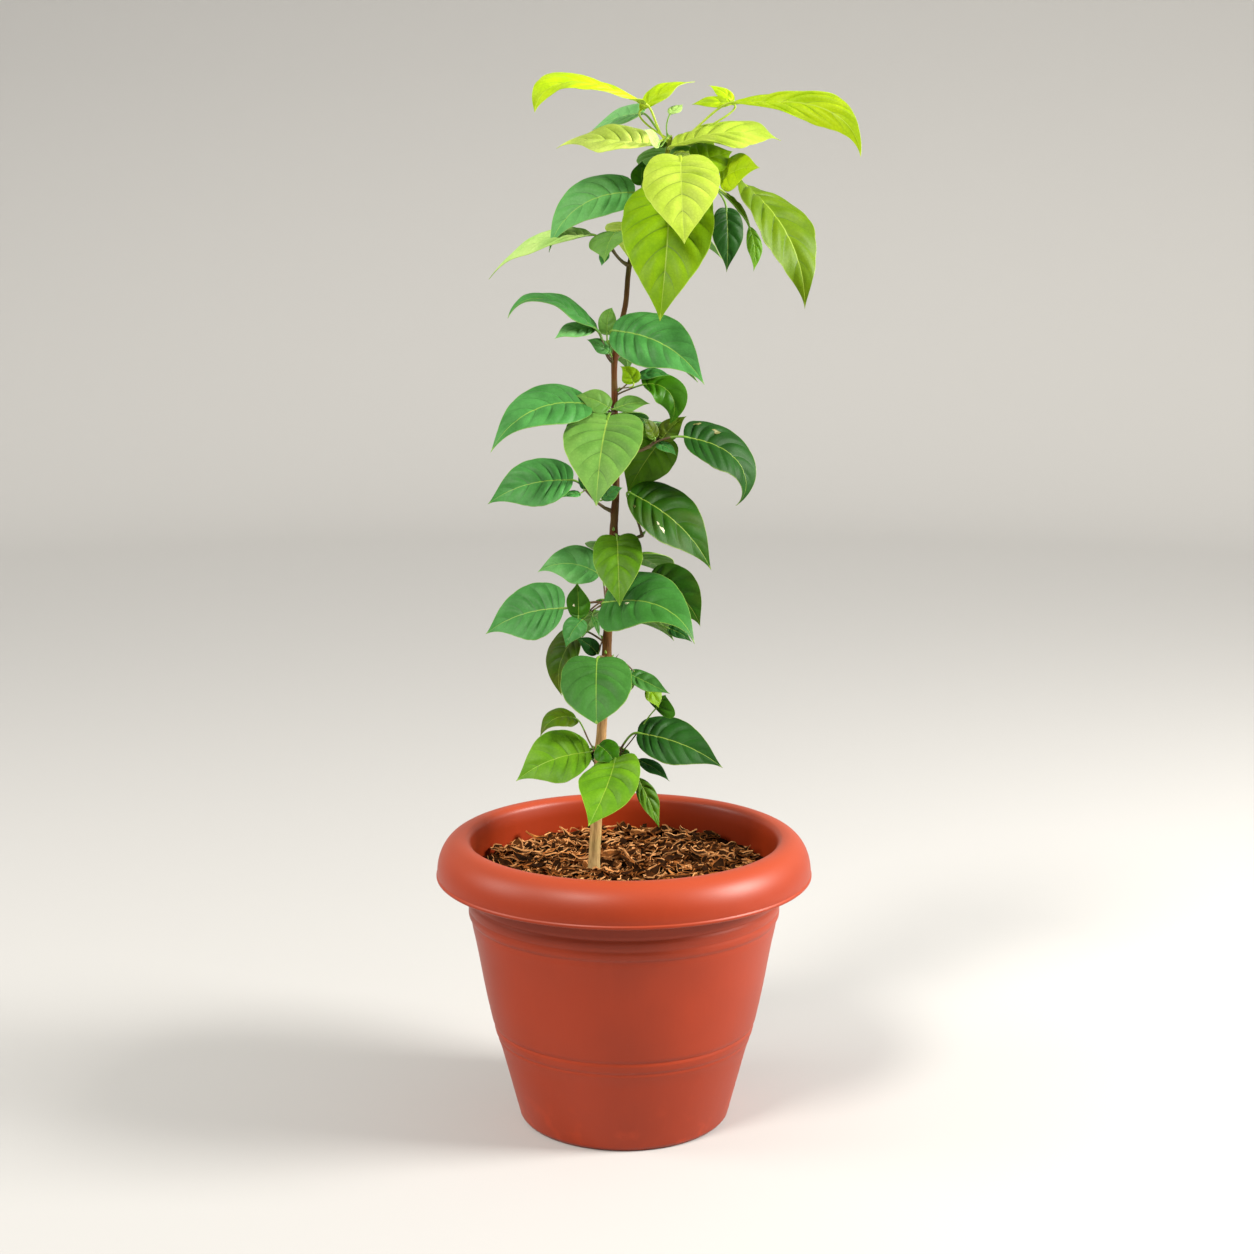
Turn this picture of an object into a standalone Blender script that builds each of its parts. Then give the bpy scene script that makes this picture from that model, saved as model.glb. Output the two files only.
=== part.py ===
"""Potted bael tree: a young broad-leaved sapling in a rolled-rim pot.

Metres, +Z up. The origin is the middle of the pot's flat underside, and -Y is the side that the
sapling's front leaves face. The pot, its potting mix and the trunk are one object each, and every
leafy shoot is one object: a short stem that meets the trunk, its leaf stalks and its blades.
"""

import math
import random
from collections import namedtuple

import bmesh
import bpy
from mathutils import Vector
from mathutils.bvhtree import BVHTree

MM = 0.001
GAP = 0.3 * MM  # kept between pieces that touch

# Pot
RIM_RADIUS = 150 * MM
RIM_CREST_HEIGHT = 233.5 * MM
RIM_WIDEST_HEIGHT = 206 * MM
RIM_ROLL_RADIUS = 20 * MM  # how far the rolled rim reaches out from its crest
RIM_LIP = 3 * MM
RIM_TURN_IN = 8 * MM  # how far the roll turns back in under its lip
RIM_HOLLOW = 5 * MM  # how far the recess under the rim rises above its widest line
MOUTH_RADIUS = 122.4 * MM
MOUTH_HEIGHT = 231 * MM
THROAT_DROP = 9 * MM  # from the mouth's edge down to the straight inner wall
NECK_HEIGHT = 200 * MM  # where the body meets the rim
WAIST_HEIGHT = 100 * MM
FOOT_RADIUS = 83 * MM
FOOT_ROUNDING = 3 * MM
WALL = 3.5 * MM
FLOOR = 5 * MM
BAND_STEP = 1.2 * MM  # how far the band round the foot of the pot stands out
RING_DEPTH = 0.7 * MM
RING_HALF_WIDTH = 1.5 * MM
POT_WALL_LINE = ((0, 83.4), (62, 99.4), (110, 112), (145, 118.4), (176, 123.6), (204, 125.6))
BAND_HEIGHTS = (60 * MM, 66 * MM, 77 * MM, 79 * MM)
BELLY_HEIGHT = 110 * MM
UPPER_RINGS = (164 * MM, 175 * MM)
POT_SIDES = 36

# Potting mix
SOIL_HEIGHT = 205 * MM
SOIL_EDGE_DROP = 2.5 * MM
SOIL_FLAT_RADIUS = 40 * MM  # level round the trunk's foot
SOIL_SHOULDER = 0.8  # share of the mix's radius at which its edge starts to fall away

# Trunk: (height, right, away) of its bends in millimetres above the pot's underside
TRUNK_BENDS = (
    (205, -24.0, -10.0), (215, -23.8, -10.0), (245, -22.0, -9.0), (315, -18.0, -7.0),
    (383, -13.5, -4.5), (430, -11.0, -3.0), (479, -8.0, -1.5), (510, -6.2, 0.0),
    (550, -7.0, 0.5), (590, -7.4, 0.0), (612, -7.0, 0.0), (632, -3.5, 0.5), (655, 1.5, 0.0),
    (681, 4.0, -0.5), (706, 11.0, -0.5), (732, 20.5, 0.0), (757, 30.0, 0.5), (780, 36.0, 0.0),
)
TRUNK_FOOT_RADIUS = 4.75 * MM
TRUNK_TIP_RADIUS = 1.5 * MM
TRUNK_TAPER_POWER = 1.2
ROOT_FLARE = 0.45  # how much wider the trunk is at the soil
ROOT_FLARE_HEIGHT = 14 * MM
TRUNK_SIDES = 8
TRUNK_STEP = 19 * MM

# Shoots
STEM_RADIUS = 1.5 * MM
STEM_SIDES = 6
STEM_RISE = 0.12  # of its length, how much a shoot's stem climbs
KNOB_RADIUS = 2.1 * MM  # the swelling that a shoot's leaf stalks leave
STALK_RADIUS = 1.15 * MM
SMALL_STALK = 0.75  # a small leaf's stalk, against that radius
STALK_SIDES = 4
STALK_SUNK = 0.07  # how much of a blade's length its stalk runs into it
STALK_LIFT = 0.5  # how much a stalk climbs as it leaves the knob
STALK_LEAD = 0.3  # shares of a stalk's reach over which it leaves the knob
STALK_TRAIL = 0.35  # and comes in line with its blade
BLADE_THICKNESS = 1.15 * MM  # over a hundredth of the longest blade
BLADE_STATIONS = 6
SMALL_BLADE = 32 * MM
SMALL_BLADE_STATIONS = 4
FOLD = 11  # degrees that each half of a blade rises from its midrib
RIPPLE = 0.012  # of the blade's length
RIPPLE_TURNS = 9  # radians of wave along a margin
WIDEST_SHARE = 0.45  # of an outline's parameter, where its first curve gives way to its second
BASE_CROWDING = 1.6  # power that gathers the stations near a blade's base
CROWN_REACH = 190 * MM  # no blade goes further out than this from the pot's axis
TRUNK_CLEARANCE = 1.2 * MM
STEM_CLEARANCE = 0.1 * MM  # on top of the gap, for the trunk's bends
SOIL_CLEARANCE = 10 * MM  # no blade hangs closer to the soil
LIME_ABOVE = 700  # millimetres above which the back shoots are young and lime green

# Half of a blade's outline as two Bezier curves: (along, across), as shares of length and width
BLADE_OUTLINES = {
    "ovate": ((0, 0), (-0.03, 0.30), (0.10, 0.50), (0.34, 0.50), (0.60, 0.50), (0.78, 0.06), (1, 0)),
    "heart": ((0, 0), (-0.12, 0.36), (0.08, 0.50), (0.34, 0.50), (0.62, 0.50), (0.84, 0.09), (1, 0)),
    "round": ((0, 0), (-0.10, 0.34), (0.10, 0.50), (0.42, 0.50), (0.68, 0.50), (0.88, 0.12), (1, 0)),
    "lance": ((0, 0), (0.06, 0.24), (0.20, 0.50), (0.42, 0.50), (0.66, 0.50), (0.84, 0.06), (1, 0)),
}

# Colours and finish: base colour, roughness
FINISHES = {
    "pot": ((0.42, 0.075, 0.032), 0.38),
    "potting_mix": ((0.10, 0.045, 0.022), 0.95),
    "trunk": ((0.30, 0.19, 0.10), 0.8),
    "lime_leaf": ((0.50, 0.66, 0.01), 0.45),
    "green_leaf": ((0.09, 0.30, 0.05), 0.45),
}

# A leaf's blade begins at foot, in millimetres right of, away from and above the trunk's middle
# where its shoot leaves it. Heading is 0 to the right, 90 away and 180 left, pitch is above
# level, and roll lifts the blade's left side, all in degrees. Length is base to tip and width the
# widest, in millimetres. Droop is how far the midrib bends down and bend how late it does, and
# twist is how much more the blade rolls at its tip than at its base.
Leaf = namedtuple("Leaf", "kind foot heading pitch roll length width droop bend twist",
                  defaults=(30, 1.2, 0))
# A shoot's stem leaves the trunk at a height, towards a heading, and is some millimetres long.
Shoot = namedtuple("Shoot", "name height heading stem finish leaves")
# A back shoot's leaves fan out by a seeded rule on the side that faces away.
BackShoot = namedtuple("BackShoot", "name height heading leaves spread length seed")

SHOOTS = (
    Shoot("shoot_low_left", 304, 195, 5, "green_leaf", (
        Leaf("ovate", (-20, 11, 22), -151, -17, -22, 31, 19, 60),
        Leaf("ovate", (-9, 1, 1), -170, -20, -46, 63, 44),
    )),
    Shoot("shoot_low_front", 297, -75, 5, "green_leaf", (
        Leaf("ovate", (-2, -9, 15), -31, -27, 38, 26, 16),
        Leaf("heart", (11, -17, 0), -118, -45, -4, 60, 45, 35),
    )),
    Shoot("shoot_low_right", 290, 5, 6, "green_leaf", (
        Leaf("ovate", (27, 0, 23), -16, -13, 50, 74, 44),
        Leaf("ovate", (43, 8, 47), -25, 10, 60, 21, 17),
        Leaf("lance", (32, 8, 6), -24, -33, 28, 30, 12),
        Leaf("lance", (34, 12, -13), -16, -70, 48, 41, 17),
    )),
    Shoot("shoot_second_left", 392, 170, 4, "green_leaf", (
        Leaf("ovate", (-12, 14, 4), -175, -64, -53, 57, 40, 45),
        Leaf("ovate", (-8, 2, -11), -172, 36, -80, 22, 13, 40),
    )),
    Shoot("shoot_second_front", 381, -100, 5, "green_leaf", (
        Leaf("round", (-5, -13, 0), -94, -43, 5, 63, 57, 35),
    )),
    Shoot("shoot_second_right", 377, 0, 4, "green_leaf", (
        Leaf("lance", (17, -3, -4), -21, -31, 24, 39, 15),
    )),
    Shoot("shoot_third_left", 421, 190, 5, "green_leaf", (
        Leaf("ovate", (-9, 13, 12), 168, 12, -52, 51, 35),
        Leaf("ovate", (-32, -6, -6), -163, -12, -59, 69, 46),
        Leaf("ovate", (-23, -11, -8), -95, 75, 160, 25, 15, 40),
        Leaf("ovate", (-19, -12, -9), -151, -54, -37, 29, 17, 40),
        Leaf("ovate", (-13, -10, -5), -69, -74, 0, 24, 13),
    )),
    Shoot("shoot_third_front", 416, -70, 5, "green_leaf", (
        Leaf("ovate", (-6, -14, 1), -15, -18, 42, 79, 43, 45),
    )),
    Shoot("shoot_third_right", 428, 20, 6, "green_leaf", (
        Leaf("ovate", (24, 9, 4), -8, -31, 77, 56, 46, 40),
        Leaf("ovate", (46, 9, -28), -12, -29, 45, 22, 11),
    )),
    Shoot("shoot_fourth_front", 478, -90, 5, "green_leaf", (
        Leaf("heart", (1, -12, -2), -84, -60, -10, 60, 41, 25),
    )),
    Shoot("shoot_fourth_right", 474, -5, 19, "green_leaf", (
        Leaf("ovate", (16, -6, 35), -20, -42, 39, 86, 52, 45),
    )),
    Shoot("shoot_fifth_left", 494, 185, 9, "green_leaf", (
        Leaf("ovate", (-31, -7, 19), -166, -10, -54, 72, 44),
    )),
    Shoot("shoot_sixth_front", 572, -95, 5, "green_leaf", (
        Leaf("ovate", (-20, -12, 1), -167, -21, -35, 84, 47, 45),
        Leaf("ovate", (-4, -12, 3), -176, 21, -56, 29, 18),
        Leaf("lance", (0, -13, 3), 8, 10, 41, 29, 14),
        Leaf("heart", (-3, -18, 1), -101, -50, 4, 88, 65, 35),
    )),
    Shoot("shoot_sixth_right", 540, 10, 24, "green_leaf", (
        Leaf("heart", (31, 12, 8), -176, -55, -81, 50, 42, 30),
        Leaf("ovate", (33, 7, 6), -41, -24, 26, 21, 11),
        Leaf("ovate", (36, 6, 9), 15, 41, 60, 27, 17),
        Leaf("ovate", (47, 0, 9), -25, -41, 55, 72, 38, 125, 2.2),
    )),
    Shoot("shoot_seventh_right", 586, -15, 6, "green_leaf", (
        Leaf("ovate", (17, -5, 10), -43, -64, 46, 43, 28, 150, 1.2),
    )),
    Shoot("shoot_eighth_left", 611, 180, 5, "green_leaf", (
        Leaf("ovate", (-14, -5, 23), -164, 7, -27, 71, 30, 85, 2.6),
        Leaf("lance", (-14, -8, 19), -153, -7, -34, 38, 19),
        Leaf("ovate", (-6, -3, 15), 111, 68, 14, 24, 13, 80),
        Leaf("lance", (-6, -5, 3), -158, 30, -47, 22, 11),
    )),
    Shoot("shoot_eighth_front", 622, -70, 5, "green_leaf", (
        Leaf("ovate", (-6, -14, 7), -16, -25, 47, 82, 50, 40),
    )),
    Shoot("shoot_ninth_left", 683, 190, 7, "green_leaf", (
        Leaf("lance", (-30, -4, 20), -176, -22, -28, 84, 32, 30),
    )),
    Shoot("shoot_tenth_left", 732, 190, 5, "green_leaf", (
        Leaf("ovate", (-6, 5, 8), 124, 60, -5, 24, 15),
        Leaf("ovate", (-11, 7, 6), -158, -33, -40, 84, 43, 75),
    )),
    Shoot("shoot_tenth_front", 745, -85, 6, "lime_leaf", (
        Leaf("heart", (16, -32, 18), -85, -54, -8, 78, 62, 20),
        Leaf("heart", (10, -14, -3), -99, -65, 8, 110, 74, 35),
    )),
    Shoot("shoot_tenth_right", 752, 0, 36, "lime_leaf", (
        Leaf("ovate", (22, -12, 6), 29, 18, 38, 37, 21),
        Leaf("ovate", (43, 0, -10), -18, 26, 55, 37, 19),
        Leaf("lance", (47, 5, -12), 9, -55, 49, 32, 11),
        Leaf("lance", (66, 5, -41), -47, -78, 14, 32, 14),
        Leaf("ovate", (62, -5, -3), -34, -61, 15, 113, 55, 45),
        Leaf("ovate", (50, 25, -27), -80, -84, 6, 47, 30),
    )),
    Shoot("shoot_crown_left", 777, 170, 6, "lime_leaf", (
        Leaf("ovate", (-19, 0, 22), -170, -2, -24, 84, 42, 95, 4, -50),
        Leaf("lance", (-19, 5, 22), 28, 29, 12, 49, 18),
        Leaf("lance", (-4, 0, 14), 39, 28, 14, 21, 11),
        Leaf("ovate", (-19, 15, 17), 135, -10, -50, 58, 34),
        Leaf("ovate", (-15, -10, -6), -165, -2, -37, 75, 38, 50),
    )),
    Shoot("shoot_crown_right", 772, -10, 5, "lime_leaf", (
        Leaf("ovate", (8, -10, 4), -18, -3, 37, 80, 40, 45),
        Leaf("lance", (45, 5, 32), 170, 1, -42, 29, 11),
        Leaf("lance", (49, 10, 35), 152, 30, -26, 25, 12),
        Leaf("ovate", (49, 0, 32), -15, -23, 24, 106, 50, 85, 3, 50),
    )),
)
BACK_SHOOTS = (
    BackShoot("shoot_back_1", 287, 85, 3, 60, 60, 11),
    BackShoot("shoot_back_2", 350, 95, 2, 36, 58, 12),
    BackShoot("shoot_back_3", 406, 80, 3, 60, 66, 13),
    BackShoot("shoot_back_4", 452, 72, 2, 34, 68, 14),
    BackShoot("shoot_back_5", 552, 80, 3, 66, 72, 15),
    BackShoot("shoot_back_6", 614, 60, 2, 50, 70, 16),
    BackShoot("shoot_back_7", 704, 66, 3, 50, 80, 17),
    BackShoot("shoot_back_8", 764, 66, 3, 40, 76, 18),
)


# ---------------------------------------------------------------- scene helpers

def clear_scene():
    for thing in list(bpy.data.objects):
        bpy.data.objects.remove(thing, do_unlink=True)


def new_collection(name):
    collection = bpy.data.collections.new(name)
    bpy.context.scene.collection.children.link(collection)
    return collection


def finish_material(name):
    colour, roughness = FINISHES[name]
    material = bpy.data.materials.get(name)
    if material is None:
        material = bpy.data.materials.new(name)
        material.use_nodes = True
        shader = material.node_tree.nodes["Principled BSDF"]
        shader.inputs["Base Color"].default_value = (*colour, 1)
        shader.inputs["Roughness"].default_value = roughness
        shader.inputs["Metallic"].default_value = 0
    return material


def add_object(name, data, collection, finish=None):
    thing = bpy.data.objects.new(name, data)
    collection.objects.link(thing)
    if finish:
        data.materials.clear()
        data.materials.append(finish_material(finish))
    return thing


def evaluated_copy(thing):
    """The object's shape with its modifiers or its curve turned into a plain mesh."""
    graph = bpy.context.evaluated_depsgraph_get()
    return bpy.data.meshes.new_from_object(thing.evaluated_get(graph), depsgraph=graph)


def smooth(mesh, sharp_above=35):
    mesh.shade_smooth()
    mesh.set_sharp_from_angle(angle=math.radians(sharp_above))


# ---------------------------------------------------------------- turned pieces

def turned(name, profile, sides, collection, finish):
    """A profile of (radius, height) turned round Z. It runs down the outer side."""
    mesh = bpy.data.meshes.new(name)
    shape = bmesh.new()
    points = [shape.verts.new((radius, 0, height)) for radius, height in profile]
    for first, second in zip(points, points[1:]):
        shape.edges.new((first, second))
    shape.to_mesh(mesh)
    shape.free()
    thing = add_object(name, mesh, collection, finish)
    screw = thing.modifiers.new("turned", "SCREW")
    screw.steps = screw.render_steps = sides
    screw.use_merge_vertices = True
    screw.merge_threshold = 0.0001
    screw.use_smooth_shade = True
    return thing


def wall_radius(height):
    """The pot's outer radius at a height, without its rings."""
    line = [(level * MM, radius * MM) for level, radius in POT_WALL_LINE]
    for (low, near), (high, far) in zip(line, line[1:]):
        if height <= high:
            return near + (far - near) * (height - low) / (high - low)
    return line[-1][1]


def rim_arc(steps=6):
    """The rolled rim from its crest round to its widest."""
    crest_radius = RIM_RADIUS - RIM_ROLL_RADIUS
    drop = RIM_CREST_HEIGHT - RIM_WIDEST_HEIGHT
    for step in range(steps + 1):
        turn = math.radians(90 * step / steps)
        yield (crest_radius + RIM_ROLL_RADIUS * math.sin(turn),
               RIM_WIDEST_HEIGHT + drop * math.cos(turn))


def outer_wall():
    """Down the outside of the body, with two grooves under the rim and a raised band low down."""
    for ring in sorted(UPPER_RINGS, reverse=True):
        radius = wall_radius(ring)
        yield (radius, ring + RING_HALF_WIDTH)
        yield (radius - RING_DEPTH, ring)
        yield (radius, ring - RING_HALF_WIDTH)
    yield (wall_radius(BELLY_HEIGHT), BELLY_HEIGHT)
    low, band_low, band_high, high = BAND_HEIGHTS
    yield (wall_radius(high), high)
    yield (wall_radius(band_high) + BAND_STEP, band_high)
    yield (wall_radius(band_low) + BAND_STEP, band_low)
    yield (wall_radius(low), low)
    yield (wall_radius(FOOT_ROUNDING) + 0.3 * MM, FOOT_ROUNDING)
    yield (FOOT_RADIUS - FOOT_ROUNDING * 0.5, 0)
    yield (0, 0)


def make_pot(collection):
    neck = wall_radius(NECK_HEIGHT)
    lip = RIM_WIDEST_HEIGHT - RIM_LIP
    recess = RIM_WIDEST_HEIGHT + RIM_HOLLOW
    profile = [(0, FLOOR), (wall_radius(FLOOR) - WALL, FLOOR),
               (wall_radius(WAIST_HEIGHT) - WALL, WAIST_HEIGHT), (neck - WALL, NECK_HEIGHT),
               (MOUTH_RADIUS - 1.2 * MM, MOUTH_HEIGHT - THROAT_DROP),
               (MOUTH_RADIUS, MOUTH_HEIGHT)]
    profile += list(rim_arc())
    profile += [(RIM_RADIUS - 0.8 * MM, lip), (RIM_RADIUS - 5 * MM, lip - 1 * MM),
                (RIM_RADIUS - RIM_TURN_IN, recess - 1 * MM), (neck + 3 * MM, recess),
                (neck, NECK_HEIGHT)]
    profile += list(outer_wall())
    return turned("pot", profile, POT_SIDES, collection, "pot")


def make_potting_mix(collection):
    """The filling of the pot, flat where the trunk stands and a little lower at its edge."""
    top = SOIL_HEIGHT - GAP
    edge = wall_radius(NECK_HEIGHT) - WALL - GAP
    foot = wall_radius(FLOOR) - WALL - GAP
    middle = wall_radius(WAIST_HEIGHT) - WALL - GAP
    profile = [(0, top), (SOIL_FLAT_RADIUS, top),
               (edge * SOIL_SHOULDER, top - 0.3 * SOIL_EDGE_DROP), (edge, top - SOIL_EDGE_DROP),
               (middle, WAIST_HEIGHT), (foot, FLOOR + GAP), (0, FLOOR + GAP)]
    return turned("potting_mix", profile, POT_SIDES, collection, "potting_mix")


# ---------------------------------------------------------------- trunk

def trunk_middle(height):
    """Where the trunk's middle is at a height, on a smooth curve through its bends."""
    bends = [Vector((right, away, level)) * MM for level, right, away in TRUNK_BENDS]
    level = min(max(height, bends[0].z), bends[-1].z)
    at = max(i for i in range(len(bends) - 1) if bends[i].z <= level or i == 0)
    here, there = bends[at], bends[at + 1]
    before = bends[max(at - 1, 0)]
    after = bends[min(at + 2, len(bends) - 1)]
    share = (level - here.z) / (there.z - here.z)
    into = (there - before) * (there.z - here.z) / max(there.z - before.z, MM)
    out = (after - here) * (there.z - here.z) / max(after.z - here.z, MM)
    ease = share * share * (3 - 2 * share)
    spot = here.lerp(there, ease)
    spot += into * (share * (1 - share) ** 2) - out * (share * share * (1 - share))
    return Vector((spot.x, spot.y, level))


def trunk_radius(height):
    foot, top = TRUNK_BENDS[0][0] * MM, TRUNK_BENDS[-1][0] * MM
    share = min(max((height - foot) / (top - foot), 0), 1)
    taper = (1 - share) ** TRUNK_TAPER_POWER
    radius = TRUNK_TIP_RADIUS + (TRUNK_FOOT_RADIUS - TRUNK_TIP_RADIUS) * taper
    return radius * (1 + ROOT_FLARE * max(0, 1 - (height - foot) / ROOT_FLARE_HEIGHT) ** 2)


def square_to_trunk(height, heading):
    """The direction nearest a heading that leaves the trunk at a right angle."""
    rise = (trunk_middle(height + 5 * MM) - trunk_middle(height - 5 * MM)).normalized()
    out, _, _ = axes(heading, 0)
    return (out - rise * out.dot(rise)).normalized()


def tube(name, points, radii, sides, collection, finish=None):
    """A closed tube along the points, as a mesh object with its caps welded on."""
    curve = bpy.data.curves.new(name, "CURVE")
    curve.dimensions = "3D"
    curve.bevel_depth = 1
    curve.bevel_resolution = (sides - 4) // 2
    curve.use_fill_caps = True
    line = curve.splines.new("POLY")
    line.points.add(len(points) - 1)
    for spot, point, radius in zip(line.points, points, radii):
        spot.co = (*point, 1)
        spot.radius = radius
    guide = bpy.data.objects.new(name + "_line", curve)
    collection.objects.link(guide)
    bpy.context.view_layer.update()
    mesh = evaluated_copy(guide)
    bpy.data.objects.remove(guide, do_unlink=True)
    bpy.data.curves.remove(curve)
    mesh.name = name
    shape = bmesh.new()
    shape.from_mesh(mesh)
    bmesh.ops.remove_doubles(shape, verts=shape.verts, dist=0.00001)
    bmesh.ops.recalc_face_normals(shape, faces=shape.faces)
    shape.to_mesh(mesh)
    shape.free()
    return add_object(name, mesh, collection, finish)


def make_trunk(collection):
    foot, top = TRUNK_BENDS[0][0] * MM, TRUNK_BENDS[-1][0] * MM
    steps = round((top - foot) / TRUNK_STEP)
    heights = [foot, foot + 4 * MM, foot + 9 * MM]
    heights += [foot + (top - foot) * step / steps for step in range(1, steps + 1)]
    points = [trunk_middle(height) for height in heights]
    points[1].xy = points[0].xy  # a level cut at the soil
    radii = [trunk_radius(height) for height in heights]
    trunk = tube("trunk", points, radii, TRUNK_SIDES, collection, "trunk")
    smooth(trunk.data)
    return trunk


# ---------------------------------------------------------------- leaves

def axes(heading, pitch):
    """Unit vectors along a heading and pitch, to its left, and up from both."""
    turn, rise = math.radians(heading), math.radians(pitch)
    along = Vector((math.cos(rise) * math.cos(turn), math.cos(rise) * math.sin(turn),
                    math.sin(rise)))
    left = Vector((-math.sin(turn), math.cos(turn), 0))
    return along, left, along.cross(left)


def bezier(corners, share):
    rest = 1 - share
    weights = (rest ** 3, 3 * rest * rest * share, 3 * rest * share * share, share ** 3)
    return tuple(sum(w * c[axis] for w, c in zip(weights, corners)) for axis in (0, 1))


def outline(kind, share):
    """A point of the half outline, as shares of the blade's length and width."""
    corners = BLADE_OUTLINES[kind]
    if share < WIDEST_SHARE:
        return bezier(corners[:4], share / WIDEST_SHARE)
    return bezier(corners[3:], (share - WIDEST_SHARE) / (1 - WIDEST_SHARE))


class Midrib:
    """The curve of a blade from base to tip, bending down by the leaf's droop."""

    STEPS = 24

    def __init__(self, leaf, foot):
        self.foot = foot
        self.length = leaf.length * MM
        self.along, self.left, self.up = axes(leaf.heading, leaf.pitch)
        self.roll = math.radians(leaf.roll)
        self.twist = math.radians(leaf.twist)
        droop = math.radians(leaf.droop)
        self.angles = [-droop * (i / self.STEPS) ** leaf.bend for i in range(self.STEPS + 1)]
        spots = [(0.0, 0.0)]
        for first, second in zip(self.angles, self.angles[1:]):
            middle = (first + second) / 2
            x, z = spots[-1]
            spots.append((x + math.cos(middle), z + math.sin(middle)))
        reach = math.hypot(*spots[-1])
        self.tilt = -math.atan2(spots[-1][1], spots[-1][0])
        self.spots = [(x / reach, z / reach) for x, z in spots]

    def at(self, share):
        """The midrib's point and its direction, left and up at a share of its length."""
        place = share * self.STEPS
        step = min(max(int(place), 0), self.STEPS - 1)
        part = place - step
        x = self.spots[step][0] + (self.spots[step + 1][0] - self.spots[step][0]) * part
        z = self.spots[step][1] + (self.spots[step + 1][1] - self.spots[step][1]) * part
        part = min(max(part, 0), 1)
        angle = self.tilt + self.angles[step] + (self.angles[step + 1] - self.angles[step]) * part
        turned_x = x * math.cos(self.tilt) - z * math.sin(self.tilt)
        turned_z = x * math.sin(self.tilt) + z * math.cos(self.tilt)
        point = self.foot + (self.along * turned_x + self.up * turned_z) * self.length
        ahead = self.along * math.cos(angle) + self.up * math.sin(angle)
        above = self.up * math.cos(angle) - self.along * math.sin(angle)
        roll = self.roll + self.twist * (min(max(share, 0), 1) - 0.4)
        left = self.left * math.cos(roll) + above * math.sin(roll)
        return point, ahead, left, ahead.cross(left)


def blade_point(leaf, midrib, share, across, ripple):
    """A point of the blade's middle surface: share base to tip, across -1 to 1."""
    edge_along, edge_across = outline(leaf.kind, share)
    side = abs(across)
    along = share ** BASE_CROWDING * (1 - side) + edge_along * side
    spot, _, left, up = midrib.at(along)
    out = across * edge_across * leaf.width * MM
    lift = abs(out) * math.tan(math.radians(FOLD))
    wave = math.sin(ripple + RIPPLE_TURNS * share + (2 if across > 0 else 0))
    lift += RIPPLE * leaf.length * MM * wave * side * side * math.sin(math.pi * share)
    return spot + left * out + up * lift


def make_blade(name, leaf, midrib, ripple, collection):
    """A grid warped to the leaf's outline and curve, and thickened."""
    stations = SMALL_BLADE_STATIONS if leaf.length * MM < SMALL_BLADE else BLADE_STATIONS
    mesh = bpy.data.meshes.new(name)
    shape = bmesh.new()
    bmesh.ops.create_grid(shape, x_segments=stations, y_segments=2, size=1)
    for corner in shape.verts:
        share, across = (corner.co.x + 1) / 2, corner.co.y
        corner.co = blade_point(leaf, midrib, share, across, ripple)
    bmesh.ops.remove_doubles(shape, verts=shape.verts, dist=0.00005)
    shape.to_mesh(mesh)
    shape.free()
    blade = add_object(name, mesh, collection)
    shell = blade.modifiers.new("thickness", "SOLIDIFY")
    shell.thickness = BLADE_THICKNESS
    shell.offset = 0
    return blade


def stalk_points(start, midrib, steps):
    """From a shoot's knob to its blade, coming into it along the midrib."""
    base, ahead, _, _ = midrib.at(0)
    sunk = midrib.at(STALK_SUNK)[0]
    reach = (base - start).length
    setting_out = (base - start).normalized() + Vector((0, 0, STALK_LIFT))
    lead = start + setting_out * reach * STALK_LEAD
    trail = base - ahead * reach * STALK_TRAIL
    points = []
    for step in range(steps):
        share = step / (steps - 1)
        rest = 1 - share
        points.append(start * rest ** 3 + lead * 3 * rest * rest * share
                      + trail * 3 * rest * share * share + base * share ** 3)
    return points + [sunk]


# ---------------------------------------------------------------- shoots

def solid_tree(thing):
    """A search tree of a mesh object, for finding what it touches."""
    return BVHTree.FromObject(thing, bpy.context.evaluated_depsgraph_get())


def too_near_trunk(leaf, midrib):
    for step in range(9):
        for across in (-1, 0, 1):
            spot = blade_point(leaf, midrib, step / 8, across, 0)
            if spot.z > TRUNK_BENDS[-1][0] * MM:
                continue
            offset = spot.xy - trunk_middle(spot.z).xy
            if offset.length < trunk_radius(spot.z) + TRUNK_CLEARANCE:
                return True
    return False


def leaves_space(leaf, midrib):
    tip = midrib.at(1)[0]
    return tip.xy.length > CROWN_REACH or tip.z < SOIL_HEIGHT + SOIL_CLEARANCE


def islands(shape):
    """The connected groups of faces of a bmesh."""
    waiting = set(shape.faces)
    while waiting:
        group, edge = set(), [waiting.pop()]
        while edge:
            face = edge.pop()
            group.add(face)
            for line in face.edges:
                near = [other for other in line.link_faces if other in waiting]
                waiting.difference_update(near)
                edge.extend(near)
        yield group


def island_volume(faces):
    """Six times the volume inside a group of faces, below zero where they face inwards."""
    total = 0
    for face in faces:
        first, *rest = [corner.co for corner in face.verts]
        total += sum(first.dot(a.cross(b)) for a, b in zip(rest, rest[1:]))
    return total


def keep_body(mesh):
    """Only the largest closed body: hollows that the join sealed are filled, scraps dropped."""
    shape = bmesh.new()
    shape.from_mesh(mesh)
    groups = sorted(islands(shape), key=island_volume)
    spare = [face for group in groups[:-1] for face in group]
    bmesh.ops.delete(shape, geom=spare, context="FACES")
    shape.to_mesh(mesh)
    shape.free()


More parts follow.
